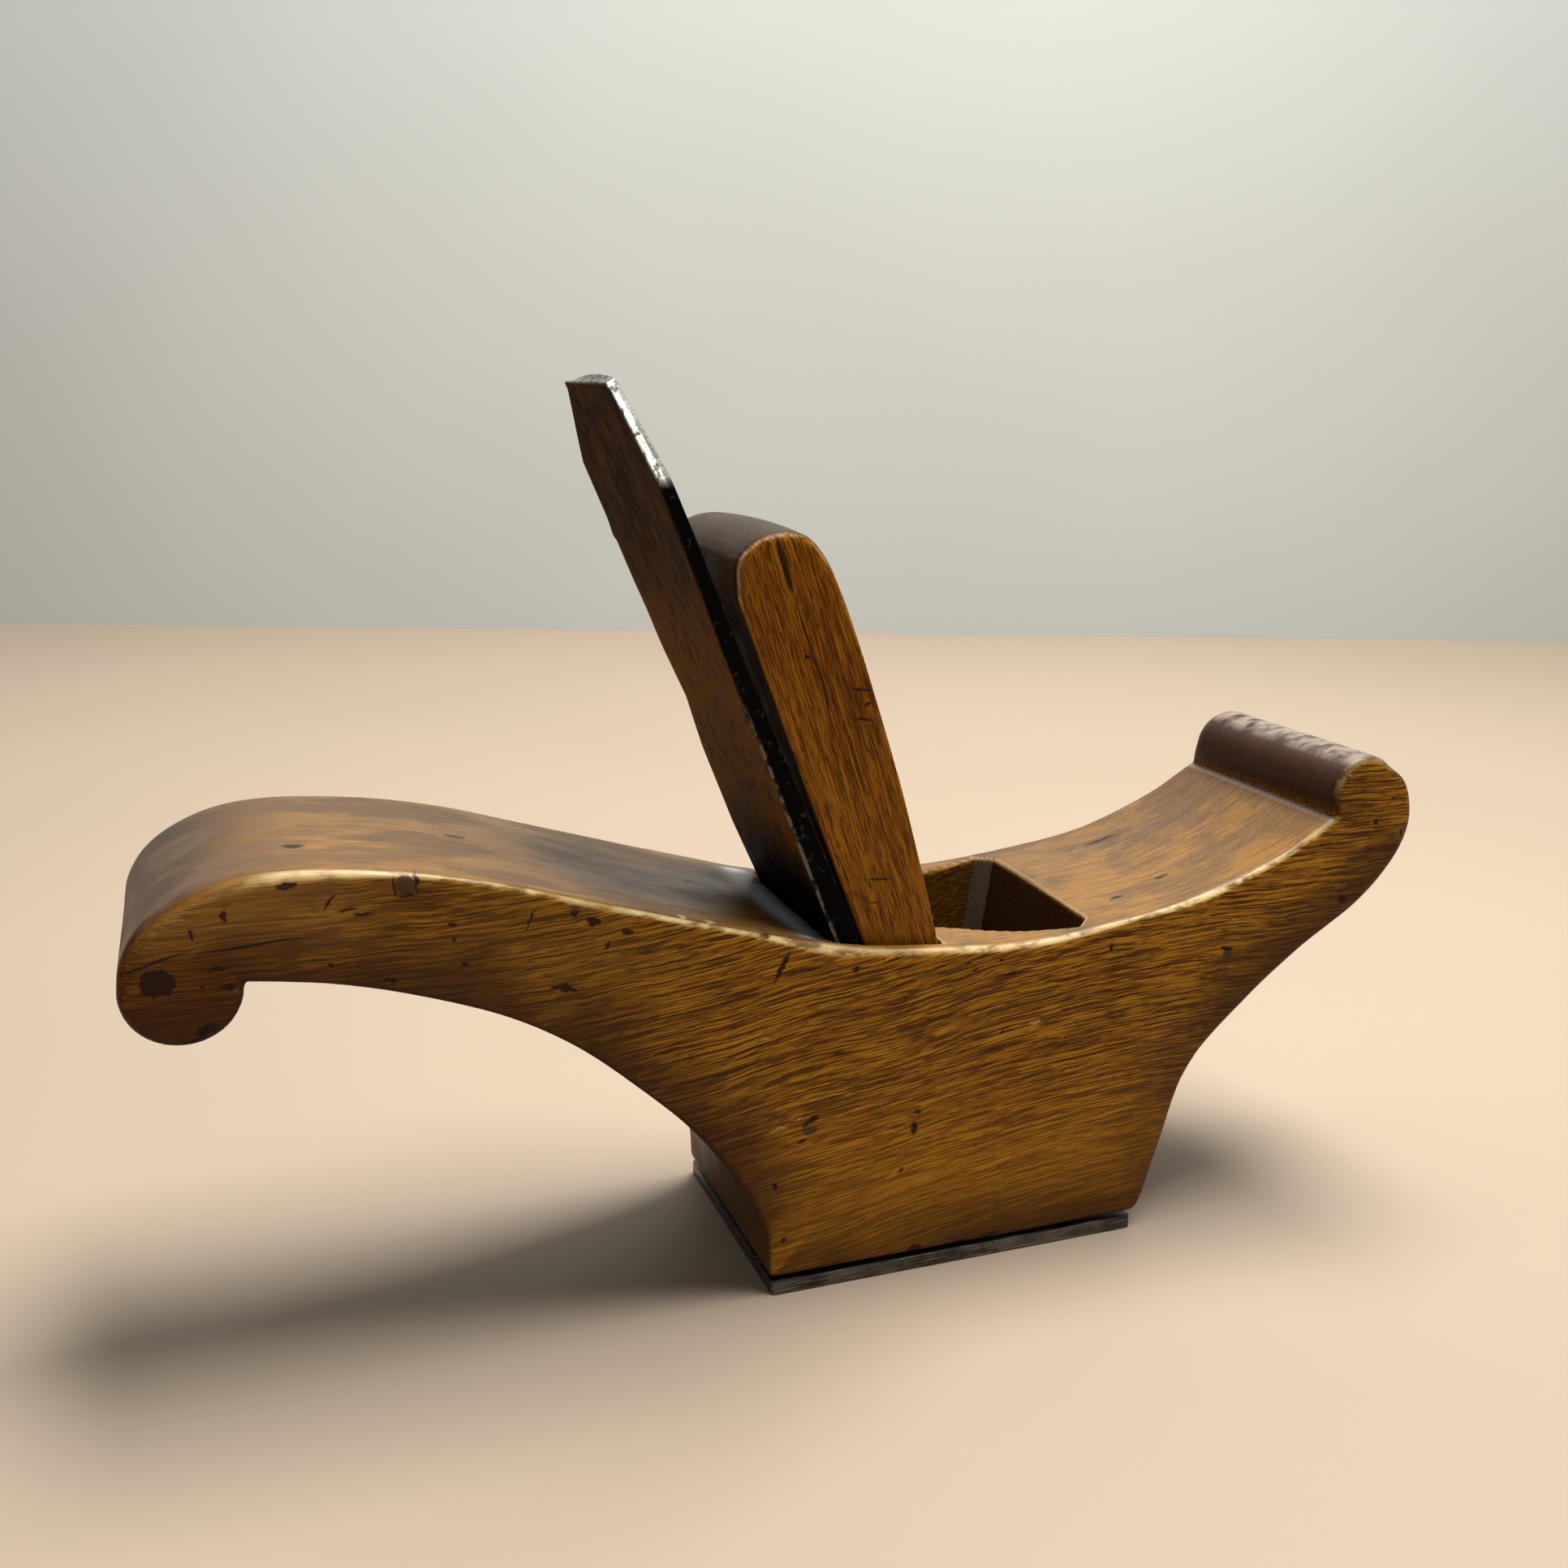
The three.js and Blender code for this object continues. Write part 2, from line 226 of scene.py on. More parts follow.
def carve(name, node, field, voxel, rounds=3):
    """A fine even mesh over a CAD node's solid, settled onto the field's surface."""
    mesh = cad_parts[node].data.copy()
    mesh.materials.clear()
    obj = add_object(name, mesh)
    shape = bmesh.new()
    shape.from_mesh(mesh)
    bmesh.ops.remove_doubles(shape, verts=shape.verts, dist=1e-6)
    shape.to_mesh(mesh)
    shape.free()
    mesh.remesh_voxel_size = voxel * MM
    mesh.remesh_voxel_adaptivity = 0
    bpy.ops.object.select_all(action="DESELECT")
    obj.select_set(True)
    bpy.context.view_layer.objects.active = obj
    bpy.ops.object.voxel_remesh()
    mesh = obj.data
    count = len(mesh.vertices)
    points = np.empty(count * 3, np.float32)
    mesh.vertices.foreach_get("co", points)
    points = points.reshape(-1, 3).astype(float) / MM
    edges = np.empty(len(mesh.edges) * 2, np.int32)
    mesh.edges.foreach_get("vertices", edges)
    edges = edges.reshape(-1, 2)
    degree = np.bincount(edges.ravel(), minlength=count)[:, None]
    for _ in range(rounds):
        around = np.zeros_like(points)
        for axis in range(3):
            around[:, axis] = (
                np.bincount(edges[:, 0], points[edges[:, 1], axis], count)
                + np.bincount(edges[:, 1], points[edges[:, 0], axis], count)
            )
        points += 0.6 * (around / degree - points)
        points = settle(points, field, 2)
    points = settle(points, field, 2)
    mesh.vertices.foreach_set("co", (points * MM).astype(np.float32).ravel())
    shade_smooth(mesh)
    mesh.update()
    return obj, points


def put_attribute(obj, name, values):
    attribute = obj.data.attributes.new(name, "FLOAT", "POINT")
    attribute.data.foreach_set("value", np.asarray(values, np.float32))


# ------------------------------ shader graphs


class Graph:
    """A material's nodes, made through short calls. Values may be numbers, colours or sockets."""

    def __init__(self, name):
        self.material = bpy.data.materials.new(name)
        self.material.use_nodes = True
        self.tree = self.material.node_tree
        self.tree.nodes.clear()
        output = self.tree.nodes.new("ShaderNodeOutputMaterial")
        self.shader = self.tree.nodes.new("ShaderNodeBsdfPrincipled")
        self.tree.links.new(self.shader.outputs[0], output.inputs[0])
        place = self.tree.nodes.new("ShaderNodeTexCoord")
        self.normal = place.outputs["Normal"]
        self.place = self.stretch(place.outputs["Object"], (MM, MM, MM))

    def put(self, socket, value):
        if isinstance(value, bpy.types.NodeSocket):
            self.tree.links.new(value, socket)
        else:
            socket.default_value = value

    def node(self, kind, inputs=(), **settings):
        made = self.tree.nodes.new("ShaderNode" + kind)
        for key, value in settings.items():
            setattr(made, key, value)
        for key, value in dict(inputs).items():
            self.put(made.inputs[key], value)
        return made

    def math(self, operation, a, b=None, clamp=False):
        inputs = {0: a} if b is None else {0: a, 1: b}
        return self.node("Math", inputs, operation=operation, use_clamp=clamp).outputs[0]

    def vector(self, operation, a, b=None, scale=None):
        made = self.node("VectorMath", {0: a}, operation=operation)
        if b is not None:
            self.put(made.inputs[1], b)
        if scale is not None:
            self.put(made.inputs["Scale"], scale)
        return made.outputs["Value" if operation in ("DISTANCE", "DOT_PRODUCT") else "Vector"]

    def range(self, value, low, high, to_low=0.0, to_high=1.0):
        inputs = {"Value": value, "From Min": low, "From Max": high, "To Min": to_low, "To Max": to_high}
        return self.node("MapRange", inputs, interpolation_type="SMOOTHSTEP").outputs[0]

    def blend(self, factor, a, b):
        return self.node("Mix", {0: factor, 2: a, 3: b}, data_type="FLOAT").outputs[0]

    def mix(self, factor, a, b):
        made = self.node("Mix", data_type="RGBA")
        self.put(made.inputs[0], factor)
        self.put(made.inputs[6], a)
        self.put(made.inputs[7], b)
        return made.outputs[2]

    def over(self, tone, color, *factors):
        """The tone with a colour laid over it, as strongly as the product of the factors."""
        return self.mix(self.times(*factors), tone, color)

    def stretch(self, vector, size, turn=(0, 0, 0), shift=(0, 0, 0)):
        """Coordinates that advance by one over each size, along axes turned by those degrees."""
        inputs = {0: vector, "Location": shift, "Rotation": [math.radians(t) for t in turn], "Scale": size}
        return self.node("Mapping", inputs, vector_type="TEXTURE").outputs[0]

    def noise(self, vector, detail=2.0, rough=0.5):
        inputs = {"Vector": vector, "Scale": 1.0, "Detail": detail, "Roughness": rough}
        return self.node("TexNoise", inputs).outputs[0]

    def warp(self, vector, amount, size):
        """The coordinates pushed about at random by up to about that amount."""
        noise = self.node("TexNoise", {"Vector": vector, "Scale": 1 / size, "Detail": 1.0}).outputs["Color"]
        parts = self.node("SeparateColor", {0: noise}).outputs
        push = self.node("CombineXYZ", {i: parts[i] for i in range(3)}).outputs[0]
        back = self.vector("SUBTRACT", vector, (amount, amount, amount))
        return self.vector("ADD", back, self.vector("SCALE", push, scale=2 * amount))

    def split(self, vector):
        return self.node("SeparateXYZ", {0: vector}).outputs[:]

    def times(self, *values):
        total = values[0]
        for value in values[1:]:
            total = self.math("MULTIPLY", total, value)
        return total

    def attribute(self, name):
        return self.node("Attribute", attribute_name=name).outputs["Fac"]

    def spots(self, vector, spots):
        """1 inside any of the ellipses, as seen from the side. Each is (x, z), half size and turn."""
        total = None
        for (x, z), size, angle in spots:
            edge = min(0.5, 0.13 / min(size))
            c, s = math.cos(math.radians(angle)), math.sin(math.radians(angle))
            middle = ((c * x + s * z) / size[0], (c * z - s * x) / size[1], 0)
            u = self.vector("DOT_PRODUCT", vector, (c / size[0], 0, s / size[0]))
            v = self.vector("DOT_PRODUCT", vector, (-s / size[1], 0, c / size[1]))
            away = self.vector("DISTANCE", self.node("CombineXYZ", {0: u, 1: v}).outputs[0], middle)
            one = self.range(away, 1 + edge, 1 - edge)
            total = one if total is None else self.math("MAXIMUM", total, one)
        return total

    def bump(self, height, distance, strength):
        inputs = {"Height": height, "Distance": distance * MM, "Strength": strength}
        return self.node("Bump", inputs).outputs[0]

    def finish(self, **inputs):
        for key, value in inputs.items():
            self.put(self.shader.inputs[key.replace("_", " ")], value)
        return self.material


def rgb(r, g, b):
    return (r, g, b, 1.0)


# ------------------------------ stock

GAP = 0.3  # what the CAD leaves between pieces that touch
WEDGE_ROOM = 0.65  # between the wedge's face and the visible abutments
BED = (1.04, 0.3975)  # x = foot - lean * z, as on every plane below
IRON_FACE = (7.8, 0.426)
WEDGE_FACE = (11.5, 0.256)
BREAST = np.array([[9.6, 0], [9.6, 2.4], [24.5, 44], [27.2, 63.5], [28.9, 76]])
THROAT_RIM_Z = 63.5
ABUTMENT_TIP_Y = 13.0
FLARE_END_X = 23.5
CORNER_CHAMFER = 3.0
SLOT_HALF = 22.1
SCOOP_REAR = (-34.4, 69.2)
SCOOP_SLOPE = 0.4
SCOOP_HALF = 21.5
SCOOP_DISH = 0.0005  # how fast the relief rises towards its sides, per square millimetre
SCREW_ROOM = (2.2, 13.6)  # radius and height of the holes for the screws
BODY_VOXEL = 0.75
BODY_INSET = 0.09  # keeps the undulating surface inside the CAD's box
RIM_CROWN = (0.75, 8, 24)  # the swell round the throat: height, and middle and length along X
RIM_TWIST = (1.1, 4, 26)  # how much higher its far side is, in the same terms
ARRIS_RADIUS = 1.55
# How much the arrises' radius changes along the stock:
TAIL_END_MORE = 1.9
ROLL_FAR_MORE = 3.6
ROLL_NEAR_MORE = 0.7
THROAT_SIDE_MORE = 0.7
FOOT_LESS = 0.6
RADIUS_VARIES = 0.3
# The widths over which two surfaces blend:
FOOT_EDGE = 2.6
SCOOP_EDGE = 0.9
THROAT_EDGE = 0.8
DENT_EDGE = 0.12

DENT_REACH = 8
ARRIS_MIDDLE = 0.71  # how far in, in radii, the middle of a round arris lies
BREAST_SQUARE = 0.93  # makes a run along X a distance from the sloping front wall

stock_low, stock_high = (np.array(corner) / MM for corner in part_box("body"))
stock_half = stock_high[1]
stock_rim = side_loop("body")
stock_outline = Outline(rounded_loop(stock_rim), grow=stock_rim[:, 0].min() - stock_low[0])
screw_boxes = [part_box(f"sole_screw_{i}") for i in range(1, 7)]
screw_places = [((low + high) / 2 / MM).xy for low, high in screw_boxes]


def ahead_of(plane, x, z, offset=0.0):
    foot, lean = plane
    return (x - foot - offset + lean * z) / math.sqrt(1 + lean * lean)


def breast_at(z):
    return np.interp(z, BREAST[:, 1], BREAST[:, 0])


def swell(x, shape):
    height, middle, length = shape
    return height * np.exp(-(((x - middle) / length) ** 2))


def throat_plan():
    front = breast_at(THROAT_RIM_Z)
    tip = WEDGE_FACE[0] + WEDGE_ROOM - WEDGE_FACE[1] * THROAT_RIM_Z
    half = [(tip - SLOT_HALF, ABUTMENT_TIP_Y), (tip, ABUTMENT_TIP_Y), (FLARE_END_X, SLOT_HALF),
            (front - CORNER_CHAMFER, SLOT_HALF), (front, SLOT_HALF - CORNER_CHAMFER)]
    return np.array(half + [(x, -y) for x, y in reversed(half)])


THROAT_PLAN = throat_plan()

# Dents that are real hollows: place, radius of the dent and depth.
DENTS = [
    ((55.7, -25.25, 56.9), 2.0, 0.5), ((-30.7, -25.25, 33.4), 1.9, 0.35), ((-10.2, -25.25, 29.4), 1.6, 0.4),
    ((-75.3, -25.25, 65.1), 2.2, 0.3), ((14.0, -25.25, 46.8), 1.8, 0.25), ((-54.5, -24.6, 75.4), 1.5, 0.5),
    ((-49.4, -24.8, 73.9), 1.7, 0.6), ((-108.6, -25.0, 88.2), 2.4, 0.45), ((-100.3, -25.0, 87.4), 2.4, 0.5),
    ((-73.2, -25.25, 78.2), 1.5, 0.3), ((-70.3, -25.25, 76.2), 1.7, 0.3), ((-118.4, -25.2, 87.6), 1.8, 0.35),
    ((-116.3, -9.8, 89.3), 2.0, 0.3), ((29.7, -25.25, 60.2), 1.3, 0.3), ((88.5, -25.25, 79.8), 1.3, 0.25),
]


def stock_parts(points):
    """The outside of the stock, its hollows, and how near each point is to a worn arris."""
    x, y, z = points.T
    crown = swell(x, RIM_CROWN) * (1 - (y / stock_half) ** 2)
    twist = swell(x, RIM_TWIST) * smooth(-20, 25, y)
    lifted = z - (crown + twist) * smooth(45, 62, z)
    side = stock_outline(x, lifted)
    flank = np.abs(y) - stock_half
    tail_end = smooth(-100, -136, x) * smooth(70, 80, z)
    roll_end = smooth(70, 79, x) * smooth(80, 87, z)
    throat_side = smooth(-55, -25, x) * smooth(25, 5, x) * smooth(40, 60, z)
    radius = (ARRIS_RADIUS + TAIL_END_MORE * tail_end
              + roll_end * np.where(y > 0, ROLL_FAR_MORE, ROLL_NEAR_MORE)
              + THROAT_SIDE_MORE * throat_side
              - FOOT_LESS * smooth(12, 5, z)
              + RADIUS_VARIES * ripple(points * [1, 0, 1], 14, 11))
    outside = rounded_corner(side, flank, radius)
    outside = soft_max(outside, stock_low[2] - z, FOOT_EDGE)
    outside = outside + BODY_INSET + 0.05 * ripple(points, 26, 3) + 0.02 * ripple(points, 7, 4)
    bed = ahead_of(BED, x, z, -GAP)
    slot = np.maximum.reduce([-bed, ahead_of(WEDGE_FACE, x, z, WEDGE_ROOM),
                              (x - breast_at(z)) * BREAST_SQUARE, np.abs(y) - SLOT_HALF])
    plan_x = x - breast_at(z) + breast_at(THROAT_RIM_Z)
    throat = np.maximum(-bed, distance_to_loop(plan_x, y, THROAT_PLAN))
    facet = SCOOP_REAR[1] - SCOOP_SLOPE * (x - SCOOP_REAR[0]) + SCOOP_DISH * y * y - z
    scoop = np.maximum(facet / math.hypot(1, SCOOP_SLOPE), np.abs(y) - SCOOP_HALF)
    scoop = np.maximum(scoop, bed - 2)
    worn_and_highlit = np.clip((np.minimum(side, flank) / radius + 1) / ARRIS_MIDDLE, 0, 1)
    return outside, np.minimum(slot, throat), scoop, worn_and_highlit


def stock_field(points):
    outside, hollow, scoop, _ = stock_parts(points)
    field = soft_max(outside, -scoop, SCOOP_EDGE)
    field = soft_max(field, -hollow, THROAT_EDGE)
    x, y, z = points.T
    for place in screw_places:
        hole = np.maximum(np.hypot(x - place[0], y - place[1]) - SCREW_ROOM[0], z - SCREW_ROOM[1])
        field = np.maximum(field, -hole)
    for place, radius, depth in DENTS:
        ball = (radius**2 + depth**2) / (2 * depth)
        middle = np.array(place)
        out = slope_of(lambda p: stock_parts(p)[0], middle[None, :])[0]
        middle = middle + out / np.linalg.norm(out) * (ball - depth)
        near = np.abs(points - place).max(1) < DENT_REACH
        hit = ball - np.linalg.norm(points[near] - middle, axis=1)
        field[near] = soft_max(field[near], hit, DENT_EDGE)
    return field


stock, stock_points = carve("stock_wood", "body", stock_field, BODY_VOXEL)
outside, hollow, scoop, worn_and_highlit = stock_parts(stock_points)
rim = np.clip(1 - (np.abs(outside) + np.abs(hollow)) / 1.3, 0, 1)
put_attribute(stock, "arris", np.where(hollow > 0.3, worn_and_highlit, 0))
put_attribute(stock, "rim", rim)
x, z = stock_points[:, 0], stock_points[:, 2]
side_depth = stock_outline(x, z)
downward = (stock_outline(x, z + 0.4) - stock_outline(x, z - 0.4)) / 0.8
# Painted shade with some dirt: the sides darker near their downward-facing lower edges.
put_attribute(stock, "darkening", smooth(-17, -0.5, side_depth) * smooth(0.1, -0.45, downward))
put_attribute(stock, "inside", smooth(0.3, -0.1, np.abs(hollow)) * smooth(-0.2, -1.5, outside))
put_attribute(stock, "scoop", smooth(0.5, 0.1, np.abs(scoop)) * smooth(0.0, -0.3, outside))

# ------------------------------ wedge

WEDGE_HALF = 21.4
FORK_HALF = 12.2
FORK_TOP = 46.0
FORK_RADIUS = 6.0
WEDGE_VOXEL = 0.6
WEDGE_INSET = 0.14  # leaves room for the wedge in the throat
WEDGE_CROWN = 0.8
WEDGE_RADIUS = 0.75
WEDGE_TOP_MORE = 0.9  # how much rounder its top's arrises are
FORK_EDGE = 0.5
WORN_EDGE = 1.1  # the radius that the wear goes by, everywhere on the wedge

wedge_outline = Outline(rounded_loop(side_loop("wedge"), corner=12))


def wedge_field(points):
    x, y, z = points.T
    crown = WEDGE_CROWN * (1 - (y / WEDGE_HALF) ** 2) * smooth(126, 139, z)
    side = wedge_outline(x, z - crown)
    flank = np.abs(y) - WEDGE_HALF
    radius = WEDGE_RADIUS + WEDGE_TOP_MORE * smooth(118, 136, z) + 0.2 * ripple(points, 12, 21)
    shape = rounded_corner(side, flank, radius)
    shape = shape + WEDGE_INSET + 0.05 * ripple(points, 20, 22)
    high = z - (FORK_TOP - FORK_RADIUS)
    wide = np.abs(y) - (FORK_HALF - FORK_RADIUS)
    fork = np.where(high > 0, np.hypot(np.maximum(wide, 0), high) - FORK_RADIUS, wide - FORK_RADIUS)
    return soft_max(shape, -fork, FORK_EDGE)


wedge, wedge_points = carve("wedge_wood", "wedge", wedge_field, WEDGE_VOXEL)
x, y, z = wedge_points.T
edge = np.minimum(wedge_outline(x, z), np.abs(y) - WEDGE_HALF)
put_attribute(wedge, "arris", np.clip(((edge + WEDGE_INSET) / WORN_EDGE + 1) / ARRIS_MIDDLE, 0, 1))

# ------------------------------ iron

IRON_HALF = 21.7
IRON_EDGE_Z = 0.5
IRON_BEVEL = 30.0
SHOULDER_Z = 147.8
STRUCK_BACK_Z = 162.9  # the struck end slopes up from here to the front
IRON_GRID = (2 * IRON_HALF, 175.0, 3.0)  # the flat slab that is bent into the iron
IRON_CORNER = 0.4
BEVEL_SHARE = 0.93  # of the bevel that the worn edge still has
TOP_THINNER = 0.12
# The far edge is worn and a little bent: height, how far out it is, how far it is bent back.
FAR_EDGE = np.array([
    [0, 21.7, 0], [66, 21.6, 0.0], [78, 21.9, 0.6], [94, 21.8, 0.6], [104, 20.8, 0.15], [113, 21.8, 0.6],
    [121, 21.9, 0.6], [129, 22.7, 0.75], [134.0, 23.2, 0.75], [134.8, 23.9, 0.95], [138, 23.3, 0.9],
    [148.4, 24.2, 1.1], [153, 20.6, 1.0], [162.0, 12.6, 0.9], [165, 11.8, 0.9],
])


def slab(name, steps):
    """A closed box of quads. steps holds each axis's grid lines, from 0 to its length."""
    counts = [len(s) for s in steps]
    index = np.full(counts, -1)
    shell = np.zeros(counts, bool)
    for axis in range(3):
        side = [slice(None)] * 3
        for end in (0, -1):
            side[axis] = end
            shell[tuple(side)] = True
    index[shell] = np.arange(shell.sum())
    grid = np.stack(np.meshgrid(*steps, indexing="ij"), -1)
    faces = []
    for axis in range(3):
        for end in (0, -1):
            sheet = np.take(index, end, axis=axis)
            quads = np.stack([sheet[:-1, :-1], sheet[1:, :-1], sheet[1:, 1:], sheet[:-1, 1:]], -1)
            flip = (end == 0) == (axis != 1)
            faces.append(quads.reshape(-1, 4)[:, ::-1] if flip else quads.reshape(-1, 4))
    obj = add_object(name, bpy.data.meshes.new(name))
    return obj, grid[shell], np.concatenate(faces)


def fill(obj, points, faces):
    mesh = obj.data
    mesh.from_pydata((points * MM).tolist(), [], faces.tolist())
    shade_smooth(mesh)
    mesh.update()


def lines(length, spacing, fine):
    """Grid lines along one axis, with closer ones near both ends."""
    near = fine * np.array([0, 0.25, 0.6, 1.0])
    middle = np.linspace(near[-1], length - near[-1], max(2, round((length - 2 * near[-1]) / spacing)))
    return np.concatenate([near[:-1], middle, (length - near[:-1])[::-1]])


def round_box(points, sizes, radius):
    core = np.clip(points, radius, np.array(sizes) - radius)
    out = points - core
    length = np.linalg.norm(out, axis=1, keepdims=True)
    return core + out * np.minimum(1, radius / np.maximum(length, 1e-9))


def make_iron():
    width, height, depth = IRON_GRID
    obj, points, faces = slab("iron_blade", [lines(width, 0.9, 0.5), lines(height, 0.7, 0.5),
                                             lines(depth, 0.7, 0.5)])
    points = round_box(points, IRON_GRID, IRON_CORNER)
    across, up, deep = points[:, 0] / width, points[:, 1] / height, points[:, 2] / depth
    bevel_run = (IRON_FACE[0] - BED[0]) / math.tan(math.radians(IRON_BEVEL))
    low = IRON_EDGE_Z + (1 - deep) * bevel_run * BEVEL_SHARE
    bulge = 1 - ((across - 0.5) * 2) ** 2
    top = STRUCK_BACK_Z + deep * (0.2 + 0.9 * bulge + 0.7 * (1 - across))
    z = low + (top - low) * up
    x_back = BED[0] - BED[1] * z
    x_front = IRON_FACE[0] - IRON_FACE[1] * z
    thick = (x_front - x_back) * (1 - TOP_THINNER * smooth(150, 163, z))
    near_side = np.interp(z, [0, SHOULDER_Z, 163.6], [-IRON_HALF, -IRON_HALF, -13.4])
    far_side = np.interp(z, FAR_EDGE[:, 0], FAR_EDGE[:, 1])
    bent_back = np.interp(z, FAR_EDGE[:, 0], FAR_EDGE[:, 2])
    y = near_side + (far_side - near_side) * across
    rough = np.stack([across * 40, z, deep * 3], 1)
    edge = smooth(0.06, 0.0, across) - smooth(0.94, 1.0, across)
    loose = smooth(58, 72, z)
    y = y + edge * (0.09 * ripple(rough, 6, 31) + 0.025 * ripple(rough, 2.6, 32)) * loose
    x = x_back + thick * deep - bent_back * smooth(0.3, 1.0, across)
    x = x + 0.08 * ripple(rough, 16, 33) * loose
    struck = smooth(STRUCK_BACK_Z - 1.6, STRUCK_BACK_Z, z) * smooth(0.3, 0.0, deep)
    x = x - 0.25 * struck
    fill(obj, np.stack([x, y, z], 1), faces)
    corner = np.hypot(across * width, deep * depth)
    return obj, across, deep, up, corner


iron, iron_across, iron_deep, iron_up, iron_corner = make_iron()
put_attribute(iron, "near_side", smooth(0.012, 0.0, iron_across))
put_attribute(iron, "near_arris_highlight", smooth(0.50, 0.15, iron_corner))
put_attribute(iron, "face", iron_deep)
put_attribute(iron, "struck", smooth(0.9975, 0.9995, iron_up))

# ------------------------------ sole plate and screws


def cutter(name, outline, low, high, axis="Z"):
    """A prism over an outline of (x, y) points, or (x, z) points where it runs along Y."""
    mesh = bmesh.new()
    rings = []
    for level in (low, high):
        rings.append([mesh.verts.new(Vector((a, b, level) if axis == "Z" else (a, level, b)) * MM)
                      for a, b in outline])
    mesh.faces.new(rings[0])
    mesh.faces.new(rings[1][::-1])
    for i in range(len(outline)):
        j = (i + 1) % len(outline)
        mesh.faces.new([rings[0][j], rings[0][i], rings[1][i], rings[1][j]])
    bmesh.ops.recalc_face_normals(mesh, faces=mesh.faces)
    return finished(name, mesh)


def turned(name, profile, place, sides=48):
    """A profile of (radius, z) points, turned about a vertical axis."""
    mesh = bmesh.new()
    rings = []
    for radius, level in profile:
        if radius == 0:
            rings.append([mesh.verts.new(Vector((place[0], place[1], level)) * MM)])
            continue
        angles = [2 * math.pi * i / sides for i in range(sides)]
        rings.append([mesh.verts.new(Vector((place[0] + radius * math.cos(a),
                                             place[1] + radius * math.sin(a), level)) * MM)
                      for a in angles])
    for lower, upper in zip(rings, rings[1:]):
        for i in range(sides):
            j = (i + 1) % sides
            corners = [lower[i % len(lower)], lower[j % len(lower)], upper[j % len(upper)],
                       upper[i % len(upper)]]
            unique = list(dict.fromkeys(corners))
            mesh.faces.new(unique)
    bmesh.ops.recalc_face_normals(mesh, faces=mesh.faces)
    return finished(name, mesh)


def finished(name, mesh):
    data = bpy.data.meshes.new(name)
    mesh.to_mesh(data)
    mesh.free()
    return add_object(name, data)


def apply(obj, kind, **settings):
    modifier = obj.modifiers.new(kind, kind)
    for key, value in settings.items():
        setattr(modifier, key, value)
    bpy.context.view_layer.update()
    evaluated = obj.evaluated_get(bpy.context.evaluated_depsgraph_get())
    data = bpy.data.meshes.new_from_object(evaluated)
    obj.modifiers.clear()
    old = obj.data
    obj.data = data
    bpy.data.meshes.remove(old)


def cut(obj, tools):
    for tool in tools:
        apply(obj, "BOOLEAN", operation="DIFFERENCE", object=tool, solver="EXACT")
        bpy.data.objects.remove(tool)


def soften(obj, width, sharp=30):
    apply(obj, "BEVEL", width=width * MM, segments=2, limit_method="ANGLE",
          angle_limit=math.radians(sharp))
    shade_smooth(obj.data)
    obj.data.set_sharp_from_angle(angle=math.radians(SHARP_ANGLE))


plate_high = np.array(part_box("sole_plate")[1]) / MM
HEAD_RADIUS = 3.8
SHANK_RADIUS = 1.9
HEAD_TOP = 0.2
SCREW_TIP = 12.7
PLATE_CORNER = 0.9
PLATE_BEVEL = 0.42
SCREW_BEVEL = 0.06
HEAD_ROOM = 0.12
SHANK_ROOM = 0.2
SLOT_WIDE = 0.45  # half the width of a screw's slot
SLOT_DEEP = 0.8
SHARP_ANGLE = 40
PLATE_CLOSER = 0.22  # how far the plate rises into the gap that the CAD leaves under the stock


def plate_outline():
    points = []
    for sx, sy, start in ((1, 1, 0), (-1, 1, 90), (-1, -1, 180), (1, -1, 270)):
        for step in range(4):
            angle = math.radians(start + 30 * step)
            points.append((sx * (plate_high[0] - PLATE_CORNER) + PLATE_CORNER * math.cos(angle),
                           sy * (plate_high[1] - PLATE_CORNER) + PLATE_CORNER * math.sin(angle)))
    return points


plate = cutter("sole_steel_plate", plate_outline(), 0.0, plate_high[2] + PLATE_CLOSER)
mouth = [(BED[0] - GAP + BED[1], -1), (BREAST[0, 0], -1),
         (BREAST[0, 0], 4), (BED[0] - GAP - 4 * BED[1], 4)]
tools = [cutter("mouth", mouth, -SLOT_HALF, SLOT_HALF, axis="Y")]
room = HEAD_RADIUS + HEAD_ROOM
for place in screw_places:
    profile = [(0, -1), (room, -1), (room, HEAD_TOP), (SHANK_RADIUS + SHANK_ROOM, 2.5),
               (SHANK_RADIUS + SHANK_ROOM, 4), (0, 4)]
    tools.append(turned("screw_room", profile, place))
cut(plate, tools)
soften(plate, PLATE_BEVEL)

screws = []
for index, place in enumerate(screw_places):
    profile = [(0, HEAD_TOP), (HEAD_RADIUS - 0.15, HEAD_TOP), (HEAD_RADIUS, HEAD_TOP + 0.12),
               (SHANK_RADIUS, 2.4), (SHANK_RADIUS, SCREW_TIP - 4), (0.5, SCREW_TIP), (0, SCREW_TIP)]
    screw = turned(f"wood_screw_{index + 1}", profile, place)
    angle = 0.4 + 1.1 * index
    along = Vector((math.cos(angle), math.sin(angle)))
    side = Vector((-along.y, along.x))
    corners = [Vector(place) + along * (a * 8) + side * (b * SLOT_WIDE)
               for a, b in ((1, 1), (-1, 1), (-1, -1), (1, -1))]
    cut(screw, [cutter("driver_slot", [tuple(c) for c in corners], -1, HEAD_TOP + SLOT_DEEP)])
    soften(screw, SCREW_BEVEL, sharp=25)
    screws.append(screw)

# ------------------------------ materials

SIDE_GRAIN_RISE = 1.5  # degrees
GRAIN_SWEEP = 11.5  # how far the grain climbs between the tail and the toe
ROLL_ROOT_X = 78.4
WEDGE_GRAIN_TURN = -109  # degrees, as the next one
IRON_STREAK_TURN = -111.7

